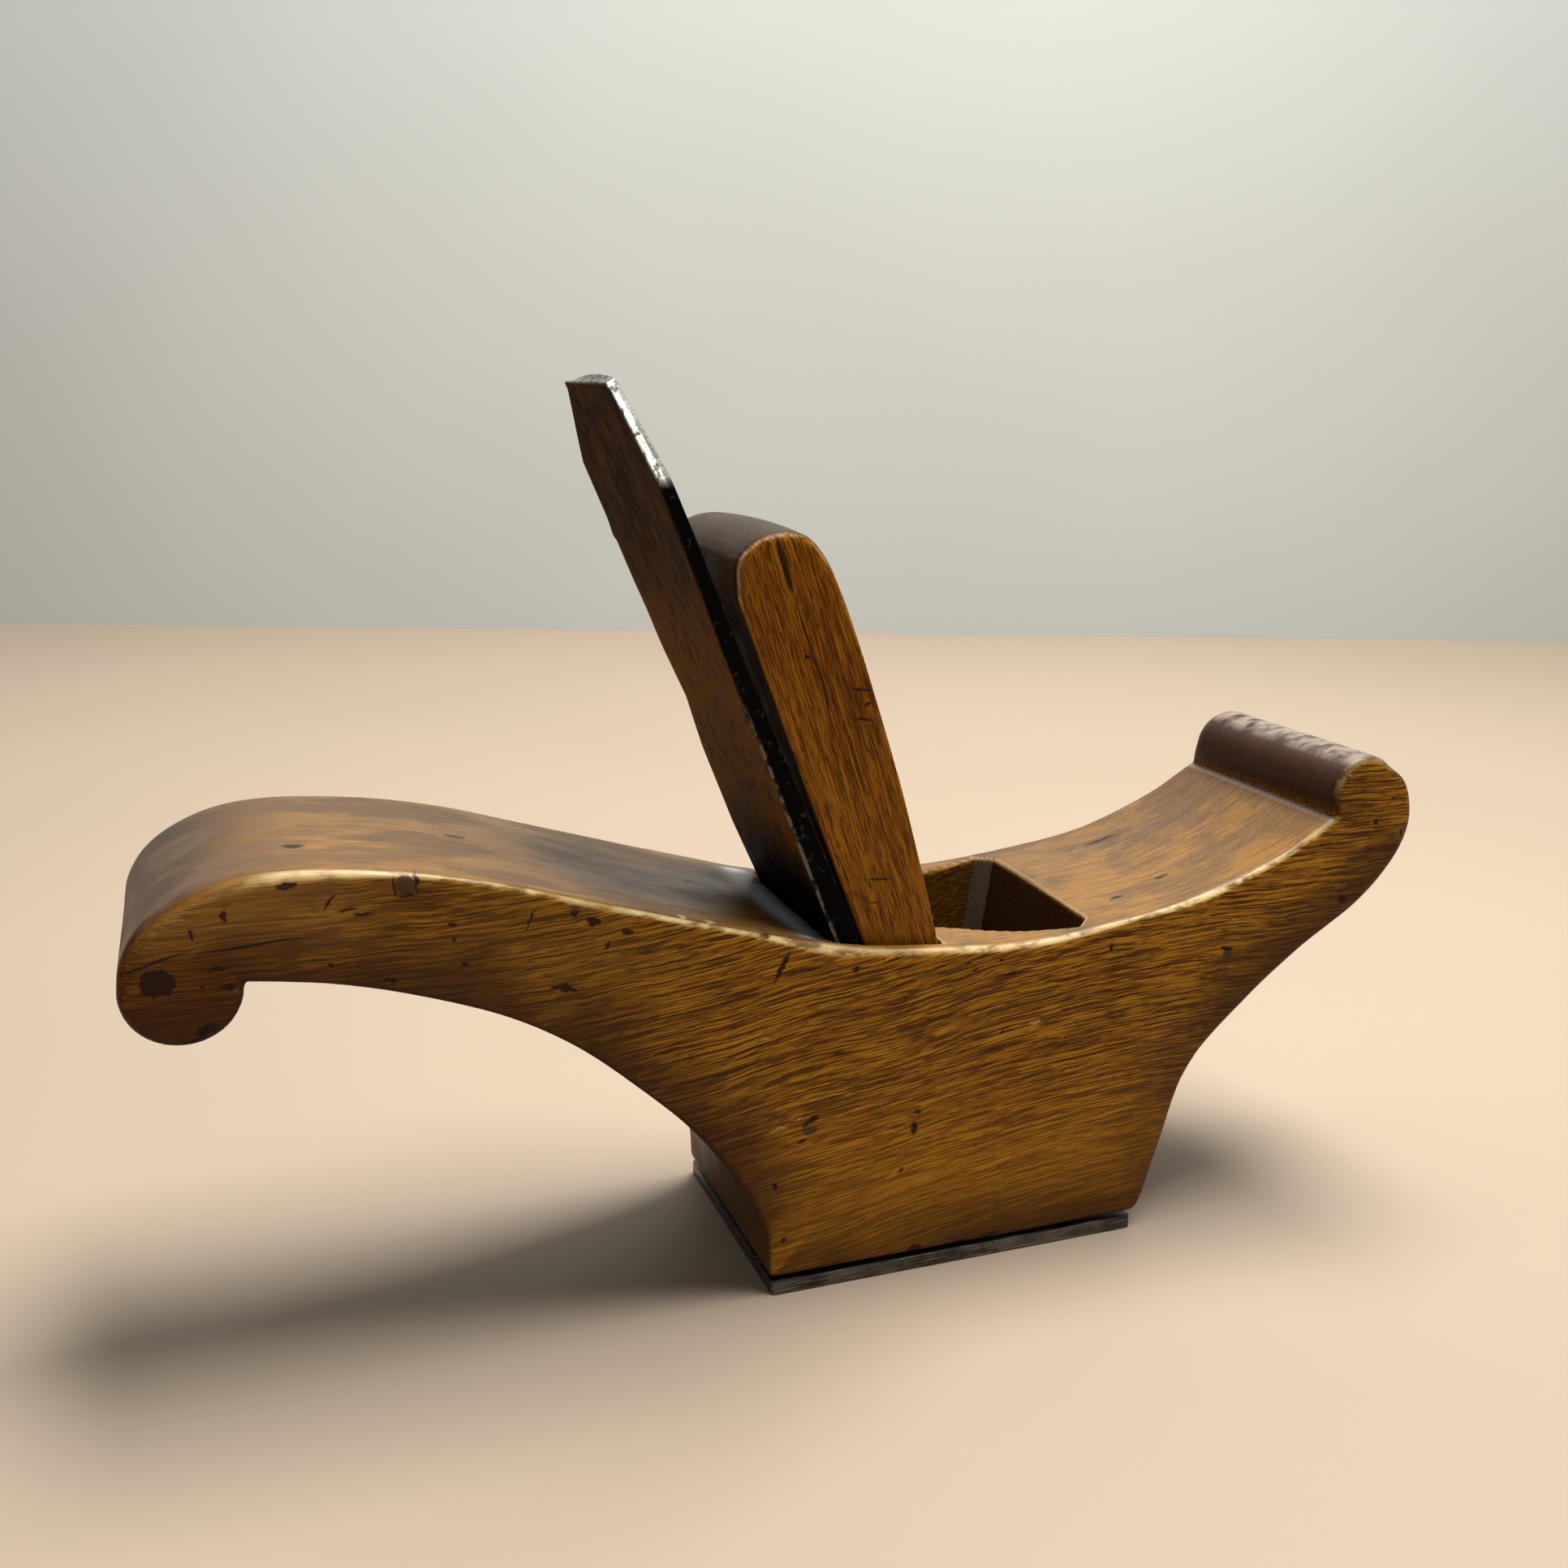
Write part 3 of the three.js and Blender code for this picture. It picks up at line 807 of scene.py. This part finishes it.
# Where the looks change: the two ends of each ramp, in millimetres.
SWEEP_X = (-80, 40)
HELD_X = (-45, -75)
TAIL_X = (-98, -116)
TAIL_END_X = (-110, -138)
SCROLL_SHADE_X = (-118, -130)
SCROLL_SHADE_Z = (84, 74)
FOOT_LIGHT_Z = (45, 12)
HEEL_SHADE_Z = (50, 35)
ROLL_X = (74, 78.5)
ROLL_Z = (82.0, 84.5)
RELIEF_X = (0.5, -3.5)
NEAR_Y = (-21.5, -23.0)
WEDGE_NEAR_Y = (-19.0, -20.5)
WEDGE_HIGHLIT_WEAR_Z = (120, 134)
IRON_BROWN_Z = (138, 108)
IRON_BLACK_Z = (90, 73)
HAMMERED_Z = (146.5, 149)
# How far up a surface faces, as its normal's Z.
FACES_UP = (0.35, 0.8)
FACES_ASIDE = (0.55, 0.2)


def wood_grain(g, place, size=1.0):
    """Grain that runs along local X: broad tone, growth lines, fibre and short dark flecks."""
    bent = g.warp(g.warp(place, 1.7 * size, 34.0), 0.28 * size, 5.0)
    broad = g.noise(g.stretch(bent, (60 * size, 16 * size, 7 * size)), 2.0)
    across = g.times(g.split(bent)[2], 0.72 / size)
    rings = g.math("FRACT", g.math("ADD", across, g.times(broad, 5.0)))
    fibre = g.noise(g.stretch(bent, (13 * size, 0.55 * size, 0.32 * size)), 2.0, 0.5)
    lines = g.times(g.range(rings, 0.0, 0.34, 1.0, 0.0), g.range(fibre, 0.60, 0.42))
    fleck = g.noise(g.stretch(bent, (3.2 * size, 0.8 * size, 0.36 * size), shift=(7, 3, 5)), 1.0, 0.4)
    return broad, lines, fibre, g.range(fleck, 0.58, 0.65)


STAINS = [  # dark marks on the near side: place (x, z), half size and turn in degrees
    ((-137.9, 73.7), (2.7, 2.2), 0), ((-131.4, 65.1), (1.8, 0.8), 20), ((-133.4, 63.2), (2.0, 0.6), 10),
    ((-127.7, 83.5), (0.5, 1.0), 0), ((-131.5, 72.5), (0.5, 0.4), 0), ((-127.6, 71.9), (1.4, 0.5), 0),
    ((-129.2, 75.0), (1.3, 0.35), 0), ((-132.4, 80.9), (0.35, 0.8), 0), ((-118.4, 87.2), (1.5, 0.5), -5),
    ((-109.2, 82.5), (1.5, 0.3), 0), ((-107.2, 81.6), (1.5, 0.3), 5), ((-112.2, 83.9), (0.25, 1.4), -28),
    ((-112.4, 73.7), (0.6, 0.3), 0), ((-103.3, 70.0), (1.1, 0.4), 0), ((-93.3, 78.2), (0.8, 0.28), 5),
    ((-93.0, 75.7), (0.25, 0.6), 0), ((-91.5, 71.2), (0.5, 0.3), 0), ((-80.5, 77.9), (0.22, 1.9), -30),
    ((-75.2, 65.1), (2.4, 0.55), -16), ((-73.2, 78.0), (0.8, 0.6), 0), ((-70.2, 76.2), (1.4, 0.7), -20),
    ((-64.4, 73.9), (1.0, 0.4), -10), ((-67.9, 71.8), (0.3, 0.8), -30), ((-36.8, 63.9), (0.32, 3.5), -29),
    ((-39.6, 70.2), (0.8, 0.3), 0), ((-30.9, 33.9), (1.7, 0.6), 32), ((-32.4, 30.3), (0.7, 0.35), 10),
    ((-10.2, 29.3), (0.65, 1.2), 0), ((-9.6, 32.5), (0.8, 0.35), 10), ((-9.1, 4.2), (1.6, 0.8), 0),
    ((-12.7, 21.3), (0.4, 0.35), 0), ((-37.6, 22.3), (0.5, 0.8), 0), ((-35.9, 11.1), (0.5, 0.45), 0),
    ((29.7, 60.2), (0.28, 1.1), -4), ((8.3, 57.7), (0.9, 0.35), 5), ((6.5, 60.3), (0.5, 0.3), 0),
    ((-0.5, 60.5), (0.8, 0.3), 0), ((1.2, 59.2), (0.6, 0.25), 0), ((7.2, 46.1), (0.45, 0.25), 0),
    ((88.5, 79.8), (0.6, 0.5), 0), ((94.9, 77.1), (0.4, 0.8), 0), ((82.3, 64.4), (0.9, 0.7), 10),
    ((92.3, 84.5), (0.35, 0.35), 0), ((55.9, 57.0), (1.5, 0.5), -20), ((-22.7, 62.1), (0.8, 0.3), 10),
    ((-1.0, 3.9), (3.2, 0.35), 8), ((6.8, 4.4), (2.2, 0.3), 8), ((-102.1, 85.6), (0.2, 1.7), 0),
    ((-98.6, 85.8), (0.22, 1.6), 0), ((-100.3, 83.8), (1.5, 0.25), 0),
]
# thin cracks along the tail, in the same terms
CRACKS = [((-138.0, 76.9), (5.0, 0.20), 17), ((-124.0, 78.25), (8.5, 0.20), 2)]
BRUISES = [  # greyish worn-off patches
    ((-100.3, 85.6), (1.5, 1.7), 0), ((-31.0, 32.2), (1.5, 0.7), 0), ((56.0, 55.6), (0.9, 0.9), 0),
    ((-36.4, 65.0), (0.5, 2.4), -29),
]
SCRATCHES = [  # pale scratches and chips
    ((-36.9, 33.5), (1.5, 0.14), 8), ((-33.0, 34.9), (0.5, 0.14), 5), ((14.2, 47.2), (0.8, 0.25), 0),
    ((-39.6, 51.0), (0.8, 0.16), 0), ((-54.4, 75.2), (1.1, 0.4), -30), ((-49.0, 73.6), (1.2, 0.4), 0),
    ((-135.0, 88.4), (0.9, 0.12), 45),
]
TOP_MARKS = [  # dark marks on the upper surfaces: place and half sizes
    ((-116.3, -9.8, 89.3), (1.7, 1.1, 3.0)), ((-88.4, 1.9, 85.2), (1.8, 0.6, 3.0)),
    ((-44.7, 3.8, 72.0), (1.6, 0.5, 3.0)), ((-40.5, -2.9, 70.8), (1.2, 0.4, 3.0)),
    ((48.6, -11.5, 68.3), (1.6, 0.5, 3.0)), ((36.7, -14.4, 66.0), (1.4, 0.5, 3.0)),
    ((50.0, 14.0, 68.8), (4.0, 0.5, 3.0)),
]


def stock_material():
    g = Graph("beech_stock")
    place = g.place
    x, y, z = g.split(place)
    nx, ny, nz = g.split(g.normal)
    top = g.range(nz, *FACES_UP)
    side = g.range(nz, *FACES_ASIDE)
    ragged = g.warp(place, 0.7, 1.4)
    worn_noise = g.noise(g.stretch(place, (6, 3, 3)), 3.0, 0.6)
    soiled = g.noise(g.stretch(place, (22, 11, 22)), 4.0, 0.6)

    climb = g.node("CombineXYZ", {2: g.range(x, *SWEEP_X, 0.0, GRAIN_SWEEP)}).outputs[0]
    along = g.stretch(g.vector("SUBTRACT", place, climb), (1, 1, 1), (0, -SIDE_GRAIN_RISE, 0))
    broad, lines, fibre, fleck = wood_grain(g, along)
    tone = g.mix(g.range(broad, 0.34, 0.66), rgb(0.225, 0.083, 0.004), rgb(0.31, 0.128, 0.006))
    tone = g.over(tone, rgb(0.54, 0.255, 0.012), g.range(fibre, 0.51, 0.63), 0.75)
    tone = g.over(tone, rgb(0.062, 0.019, 0.002), g.range(fibre, 0.49, 0.39), 0.85)
    tone = g.over(tone, rgb(0.045, 0.013, 0.001), lines, 0.92)
    tone = g.over(tone, rgb(0.04, 0.012, 0.002), fleck, 0.55)
    held = g.times(g.range(x, *HELD_X), g.range(soiled, 0.30, 0.60, 0.5, 1.0))
    tone = g.over(tone, rgb(0.13, 0.06, 0.013), held, 0.50)
    tone = g.over(tone, rgb(0.3, 0.15, 0.045), g.range(x, *TAIL_X), g.range(z, 73, 80), 0.35)
    # Painted light: the sides made lighter towards the foot.
    tone = g.over(tone, rgb(0.45, 0.195, 0.008), g.range(z, *FOOT_LIGHT_Z), 0.35)

    # Upper surfaces: fine lines along the stock, golden on the near side, greyer on the far side.
    drawn = g.warp(place, 1.2, 30.0)
    hair = g.noise(g.stretch(drawn, (10, 0.45, 8)), 4.0, 0.62)
    golden = g.mix(g.range(hair, 0.38, 0.62), rgb(0.195, 0.088, 0.012), rgb(0.345, 0.162, 0.026))
    dull = g.mix(g.range(hair, 0.38, 0.62), rgb(0.088, 0.046, 0.02), rgb(0.152, 0.084, 0.038))
    beyond = g.math("ADD", g.range(y, -18, 16, 0.0, 0.45), g.range(soiled, 0.40, 0.60, -0.1, 0.7),
                    clamp=True)
    handled = g.mix(beyond, golden, dull)
    tone = g.over(tone, handled, top, 0.88)
    roll = g.times(g.range(x, *ROLL_X), g.range(z, *ROLL_Z), g.range(y, -25.2, -24.3))
    # The roll's upward-facing crest gets pale scuffs: partly wear, partly a painted highlight.
    scuffs_and_highlight = g.mix(g.times(g.range(worn_noise, 0.34, 0.62), g.range(nz, 0.66, 0.98)),
                    rgb(0.046, 0.02, 0.013), rgb(0.33, 0.26, 0.21))
    tone = g.over(tone, scuffs_and_highlight, roll, 0.94)
    root = g.times(g.range(g.math("ABSOLUTE", g.math("SUBTRACT", x, ROLL_ROOT_X)), 1.2, 0.2),
                   g.range(z, 83.2, 82.0), g.range(z, 79.0, 80.5))
    tone = g.over(tone, rgb(0.33, 0.27, 0.22), root, top, 0.7)
    tail_end = g.times(g.range(x, *TAIL_END_X), g.range(y, -25.1, -22.5))
    tone = g.mix(g.times(tail_end, 0.85), tone,
                 g.mix(g.range(soiled, 0.42, 0.58), rgb(0.034, 0.018, 0.011), rgb(0.13, 0.08, 0.052)))

    # Painted shade with some dirt: darker along the lower edges and on the scroll. Painted shade on whatever
    # faces down or back.
    shade_and_dirt_tone = rgb(0.04, 0.015, 0.005)
    darkening = g.times(g.attribute("darkening"), g.range(soiled, 0.30, 0.55, 0.55, 1.0))
    tone = g.over(tone, shade_and_dirt_tone, darkening, 0.80)
    # Painted shade with some dirt on the lower part of the scroll, under the tail.
    scroll_shade_and_dirt = g.times(g.range(x, *SCROLL_SHADE_X), g.range(z, *SCROLL_SHADE_Z))
    tone = g.over(tone, rgb(0.05, 0.012, 0.001), scroll_shade_and_dirt, 0.65)
    # Painted shade on surfaces that face down.
    tone = g.over(tone, rgb(0.036, 0.014, 0.006), g.range(nz, -0.15, -0.8), 0.7)
    # Painted shade on the heel's end face, under the tail.
    heel_shade = g.times(g.range(nx, -0.45, -0.85), g.range(z, *HEEL_SHADE_Z))
    tone = g.over(tone, rgb(0.05, 0.02, 0.006), heel_shade, 0.75)

    # Arrises: worn pale above, with a painted highlight in that pale colour, and dark below.
    arris = g.attribute("arris")
    upper = g.range(nz, -0.1, 0.35)
    polished_and_highlit = g.times(g.range(arris, 0.30, 0.85), upper, g.range(x, -132, -114))
    # Painted highlight laid into the pale wear of the upward-facing arrises.
    pale_wear_and_highlight = g.times(polished_and_highlit, g.range(worn_noise, 0.38, 0.56, 0.1, 1.0), g.range(x, 80, 68, 0.3, 1.0))
    pale_wear_and_highlight = g.times(pale_wear_and_highlight, g.range(soiled, 0.38, 0.56, 0.45, 1.0))
    tone = g.over(tone, rgb(0.9, 0.69, 0.32), pale_wear_and_highlight, 0.85)
    tone = g.over(tone, rgb(0.035, 0.013, 0.005), g.range(arris, 0.3, 0.9), g.range(upper, 0.5, 0.0), 0.6)

    # Inside the throat: painted shade in the recess, its chamfered corners, and painted shade on the front
    # wall. The relief behind the iron: a painted reflection, pale blue-grey, turning to a painted shadow of
    # the iron towards the bed.
    # Painted shade inside the throat.
    inside = g.attribute("inside")
    tone = g.mix(g.times(inside, 0.8), tone,
                 g.mix(g.times(fibre, 0.6), rgb(0.06, 0.022, 0.004), rgb(0.24, 0.11, 0.02)))
    # Painted shade on the throat's front wall.
    front = g.times(inside, g.range(nx, -0.80, -0.93))
    tone = g.over(tone, rgb(0.03, 0.009, 0.005), front, 0.9)
    corner = g.times(inside, g.range(g.math("ABSOLUTE", g.times(nx, ny)), 0.30, 0.44))
    tone = g.over(tone, rgb(0.2, 0.185, 0.145), corner, 0.8)
    rim = g.range(g.attribute("rim"), 0.35, 0.9)
    tone = g.over(tone, rgb(0.7, 0.52, 0.3), rim, 0.75)
    # Painted reflection on the relief, darkening towards the bed as a painted shadow of the iron.
    relief = g.attribute("scoop")
    behind = g.math("ADD", x, g.times(z, BED[1]))
    tone = g.mix(g.times(relief, 0.92), tone,
                 g.mix(g.range(behind, *RELIEF_X), rgb(0.22, 0.23, 0.24), rgb(0.66, 0.71, 0.76)))

    # The marks that are placed one by one.
    near = g.range(y, *NEAR_Y)
    crack_line = g.warp(place, 0.8, 9.0)
    marks = g.times(near, g.math("MAXIMUM", g.spots(ragged, STAINS), g.spots(crack_line, CRACKS)))
    for middle, size in TOP_MARKS:
        shrunk = g.vector("MULTIPLY", ragged, [1 / extent for extent in size])
        away = g.vector("DISTANCE", shrunk, [m / extent for m, extent in zip(middle, size)])
        marks = g.math("MAXIMUM", marks, g.range(away, 1.3, 0.7))
    tone = g.over(tone, rgb(0.072, 0.04, 0.017), near, g.spots(ragged, BRUISES), 0.92)
    tone = g.over(tone, rgb(0.02, 0.007, 0.005), marks, 0.92)
    tone = g.over(tone, rgb(0.62, 0.47, 0.27), near, g.spots(ragged, SCRATCHES), 0.75)

    rough = g.range(soiled, 0.35, 0.65, 0.27, 0.44)
    rough = g.math("ADD", rough, g.times(side, 0.10))
    rough = g.math("SUBTRACT", rough, g.times(polished_and_highlit, 0.04))
    rough = g.math("SUBTRACT", rough, g.times(relief, 0.10))
    rough = g.math("ADD", rough, g.times(marks, 0.15))
    height = g.math("SUBTRACT", g.blend(top, fibre, hair),
                    g.times(g.math("ADD", lines, fleck), side, 0.30))
    gloss = g.blend(top, 0.10, 0.26)
    return g.finish(Base_Color=tone, Roughness=rough, Normal=g.bump(height, 0.09, 0.8),
                    Specular_IOR_Level=gloss, Coat_Weight=0.04, Coat_Roughness=0.2)


def wedge_material():
    g = Graph("beech_wedge")
    place = g.place
    y, z = g.split(place)[1:]
    ny = g.split(g.normal)[1]
    along = g.stretch(place, (1, 1, 1), (0, WEDGE_GRAIN_TURN, 0))
    broad, lines, fibre, fleck = wood_grain(g, along, 0.75)
    tone = g.mix(g.range(broad, 0.34, 0.66), rgb(0.215, 0.068, 0.001), rgb(0.31, 0.112, 0.002))
    tone = g.over(tone, rgb(0.09, 0.024, 0.001), lines, 0.45)
    tone = g.over(tone, rgb(0.46, 0.19, 0.006), g.range(fibre, 0.51, 0.64), 0.60)
    tone = g.over(tone, rgb(0.075, 0.019, 0.001), g.range(fibre, 0.49, 0.38), 0.80)
    tone = g.over(tone, rgb(0.045, 0.012, 0.001), fleck, 0.6)
    blotch = g.noise(g.stretch(place, (9, 6, 9)), 4.0, 0.6)
    darkening = g.mix(g.range(blotch, 0.38, 0.62), rgb(0.011, 0.009, 0.007), rgb(0.038, 0.035, 0.028))
    tone = g.mix(g.times(g.range(g.math("ABSOLUTE", ny), 0.75, 0.25), 0.88), tone, darkening)
    # Painted highlight laid into the pale wear of the upper arrises.
    worn_and_highlit = g.times(g.range(g.attribute("arris"), 0.3, 0.9),
                   g.range(g.noise(g.stretch(place, (2, 2, 4)), 3.0), 0.42, 0.60), g.range(z, *WEDGE_HIGHLIT_WEAR_Z))
    tone = g.over(tone, rgb(0.58, 0.44, 0.27), worn_and_highlit, 0.7)
    near = g.range(y, *WEDGE_NEAR_Y)
    split = g.warp(place, 0.55, 6.0)
    ragged = g.warp(place, 0.3, 1.2)
    marks = g.spots(split, [
        ((-35.6, 133.6), (4.8, 0.55), 110), ((-31.6, 122.0), (8.5, 0.16), 108),
        ((-27.5, 110.0), (7.0, 0.12), 108),
    ])
    marks = g.math("MAXIMUM", marks, g.spots(ragged, [
        ((-17.0, 77.2), (2.0, 0.24), -4), ((-17.7, 72.9), (0.9, 0.16), -6),
        ((-21.4, 111.9), (1.7, 0.3), -10), ((-20.6, 106.6), (1.6, 0.3), -14),
        ((-31.4, 118.1), (0.5, 0.4), 0), ((-20.0, 109.3), (0.8, 0.3), 30),
    ]))
    marks = g.times(near, marks)
    tone = g.over(tone, rgb(0.018, 0.007, 0.003), marks, 0.92)
    rough = g.range(blotch, 0.35, 0.65, 0.34, 0.52)
    height = g.math("SUBTRACT", fibre, g.times(g.math("ADD", fleck, lines), 0.3))
    height = g.math("SUBTRACT", height, g.times(marks, 1.2))
    return g.finish(Base_Color=tone, Roughness=rough, Normal=g.bump(height, 0.14, 0.8),
                    Specular_IOR_Level=0.12, Coat_Weight=0.03, Coat_Roughness=0.25)


def iron_material():
    g = Graph("patinated_iron")
    place = g.place
    z = g.split(place)[2]
    along = g.stretch(place, (1, 1, 1), (0, IRON_STREAK_TURN, 0))
    streak = g.noise(g.stretch(along, (4.2, 2.4, 0.9)), 4.0, 0.65)
    cloud = g.noise(g.stretch(along, (24, 12, 12)), 3.0)
    dents = g.noise(g.stretch(place, (1.5, 1.5, 1.5)), 3.0, 0.6)
    tone = g.mix(g.range(cloud, 0.35, 0.65), rgb(0.031, 0.014, 0.006), rgb(0.064, 0.03, 0.013))
    tone = g.over(tone, rgb(0.19, 0.078, 0.002), g.range(z, *IRON_BROWN_Z), 0.85)
    tone = g.over(tone, rgb(0.115, 0.06, 0.018), g.range(streak, 0.52, 0.66), 0.6)
    tone = g.over(tone, rgb(0.006, 0.003, 0.001), g.range(streak, 0.49, 0.38), 0.85)
    tone = g.mix(g.range(z, *IRON_BLACK_Z), tone, rgb(0.004, 0.003, 0.002))
    side = g.attribute("near_side")
    black = g.mix(g.times(g.range(dents, 0.60, 0.70), 0.6), rgb(0.004, 0.004, 0.004),
                  rgb(0.05, 0.052, 0.047))
    tone = g.mix(side, tone, black)
    # Painted highlight: a thin, broken pale line along the near arris.
    arris = g.times(g.attribute("near_arris_highlight"), g.range(dents, 0.42, 0.54, 0.1, 1.0),
                    g.range(z, 112, 104, 0.03, 1.0))
    tone = g.over(tone, rgb(0.26, 0.25, 0.22), arris, 0.8)
    hammered = g.times(side, g.range(z, *HAMMERED_Z))
    silver = g.mix(g.range(dents, 0.40, 0.52), rgb(0.16, 0.15, 0.13), rgb(0.92, 0.91, 0.86))
    silver = g.mix(g.range(g.attribute("face"), 0.55, 0.70), silver, rgb(0.28, 0.27, 0.23))
    tone = g.mix(hammered, tone, silver)
    struck = g.attribute("struck")
    tone = g.mix(struck, tone,
                 g.mix(g.range(dents, 0.35, 0.65), rgb(0.15, 0.14, 0.13), rgb(0.34, 0.33, 0.31)))
    metal = g.math("MAXIMUM", hammered, g.times(struck, 0.6))
    rough = g.range(streak, 0.3, 0.7, 0.52, 0.70)
    rough = g.math("SUBTRACT", rough, g.times(hammered, 0.12))
    height = g.math("ADD", streak, g.times(dents, 0.6))
    return g.finish(Base_Color=tone, Metallic=metal, Roughness=rough, Normal=g.bump(height, 0.26, 0.8),
                    Specular_IOR_Level=0.01)


def steel_material(name, dark, light, scale, rough_low, rough_high):
    g = Graph(name)
    place = g.place
    brushed = g.noise(g.stretch(place, (9 * scale, 0.35 * scale, 0.35 * scale)), 3.0, 0.6)
    cloud = g.noise(g.stretch(place, (9 * scale,) * 3), 4.0, 0.6)
    pits = g.noise(g.stretch(place, (0.8 * scale,) * 3), 2.0)
    tone = g.mix(g.range(cloud, 0.35, 0.65), dark, light)
    tone = g.mix(g.times(g.range(brushed, 0.5, 0.75), 0.5), tone, rgb(0.6, 0.58, 0.54))
    tone = g.mix(g.range(pits, 0.66, 0.74), tone, rgb(0.06, 0.035, 0.02))
    rough = g.range(brushed, 0.3, 0.7, rough_low, rough_high)
    height = g.math("SUBTRACT", g.times(brushed, 0.5), g.range(pits, 0.62, 0.74))
    return g.finish(Base_Color=tone, Metallic=0.9, Roughness=rough, Normal=g.bump(height, 0.05, 0.7))


def dress(obj, material, slot, body, *nodes):
    obj.data.materials.clear()
    obj.data.materials.append(material)
    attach(obj, body)
    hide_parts(*nodes)


dress(stock, stock_material(), "beech_stock", "stock", "body")
dress(wedge, wedge_material(), "beech_wedge", "wedge", "wedge")
dress(iron, iron_material(), "patinated_iron", "iron", "iron")
sole_steel = steel_material("sole_steel", rgb(0.045, 0.042, 0.038), rgb(0.13, 0.12, 0.11), 1.0, 0.32, 0.5)
dress(plate, sole_steel, "sole_steel", "stock", "sole_plate")
screw_steel = steel_material("screw_steel", rgb(0.14, 0.12, 0.1), rgb(0.34, 0.31, 0.28), 0.5, 0.3, 0.5)
for index, screw in enumerate(screws):
    dress(screw, screw_steel, "screw_steel", "stock", f"sole_screw_{index + 1}")

# ------------------------------ floor, backdrop and light

FLOOR_NEAR = -2.5  # metres in front of the camera, as the next one
WALL_AWAY = 1.05
WALL_HEIGHT = 2.4
STUDIO_HALF = 3.0
CLOUD_SIZE = 300  # millimetres
SKY = (0.80, 0.84, 0.88, 1)
SKY_STRENGTH = 0.06


def plain_material(name, color, roughness):
    g = Graph(name)
    cloud = g.noise(g.stretch(g.place, (CLOUD_SIZE,) * 3), 2.0)
    tone = g.mix(g.range(cloud, 0.3, 0.7), color, rgb(*(c * 0.96 for c in color[:3])))
    return g.finish(Base_Color=tone, Roughness=roughness)


def make_studio():
    """A pale floor with a pale wall behind the plane, square to the camera."""
    turn = Matrix.Rotation(math.radians(CAMERA_AZIMUTH), 4, "Z")
    origin = Vector((CAMERA_PLACE[0], CAMERA_PLACE[1], 0)) * MM
    profile = [(FLOOR_NEAR, 0.0), (WALL_AWAY, 0.0), (WALL_AWAY, WALL_HEIGHT)]
    mesh = bmesh.new()
    rows = [[mesh.verts.new(origin + turn @ Vector((side * STUDIO_HALF, away, height)))
             for side in (-1, 1)] for away, height in profile]
    for a, b in zip(rows, rows[1:]):
        mesh.faces.new([a[0], a[1], b[1], b[0]])
    studio = finished("studio_floor", mesh)
    studio.data.materials.append(plain_material("pale_floor", rgb(0.5, 0.4, 0.3), 0.6))
    studio.data.materials.append(plain_material("pale_wall", rgb(0.58, 0.61, 0.59), 0.8))
    for index, face in enumerate(studio.data.polygons):
        face.material_index = index


def area_light(name, place, aim, size, power, color):
    data = bpy.data.lights.new(name, "AREA")
    data.shape = "RECTANGLE"
    data.size, data.size_y = size
    data.energy = power
    data.color = color
    obj = add_object(name, data)
    direction = Vector(aim) - Vector(place)
    turn = direction.to_track_quat("-Z", "Y").to_matrix().to_4x4()
    obj.matrix_world = Matrix.Translation(Vector(place)) @ turn


make_studio()
area_light("overhead", (0.22, 0.05, 1.1), (0, 0, 0.05), (0.8, 0.5), 20, (1.0, 0.97, 0.93))
area_light("front_fill", (-0.7, -1.2, 0.6), (0, 0, 0.05), (0.8, 0.5), 2.0, (1.0, 0.94, 0.86))
area_light("wall_wash", (0.02, 0.13, 1.0), (0.30, 0.80, 0.35), (1.6, 0.4), 3.4, (0.98, 0.99, 1.0))

world = bpy.data.worlds.new("studio")
world.use_nodes = True
background = world.node_tree.nodes["Background"]
background.inputs[0].default_value = SKY
background.inputs[1].default_value = SKY_STRENGTH
bpy.context.scene.world = world
bpy.context.scene.view_settings.view_transform = "Standard"
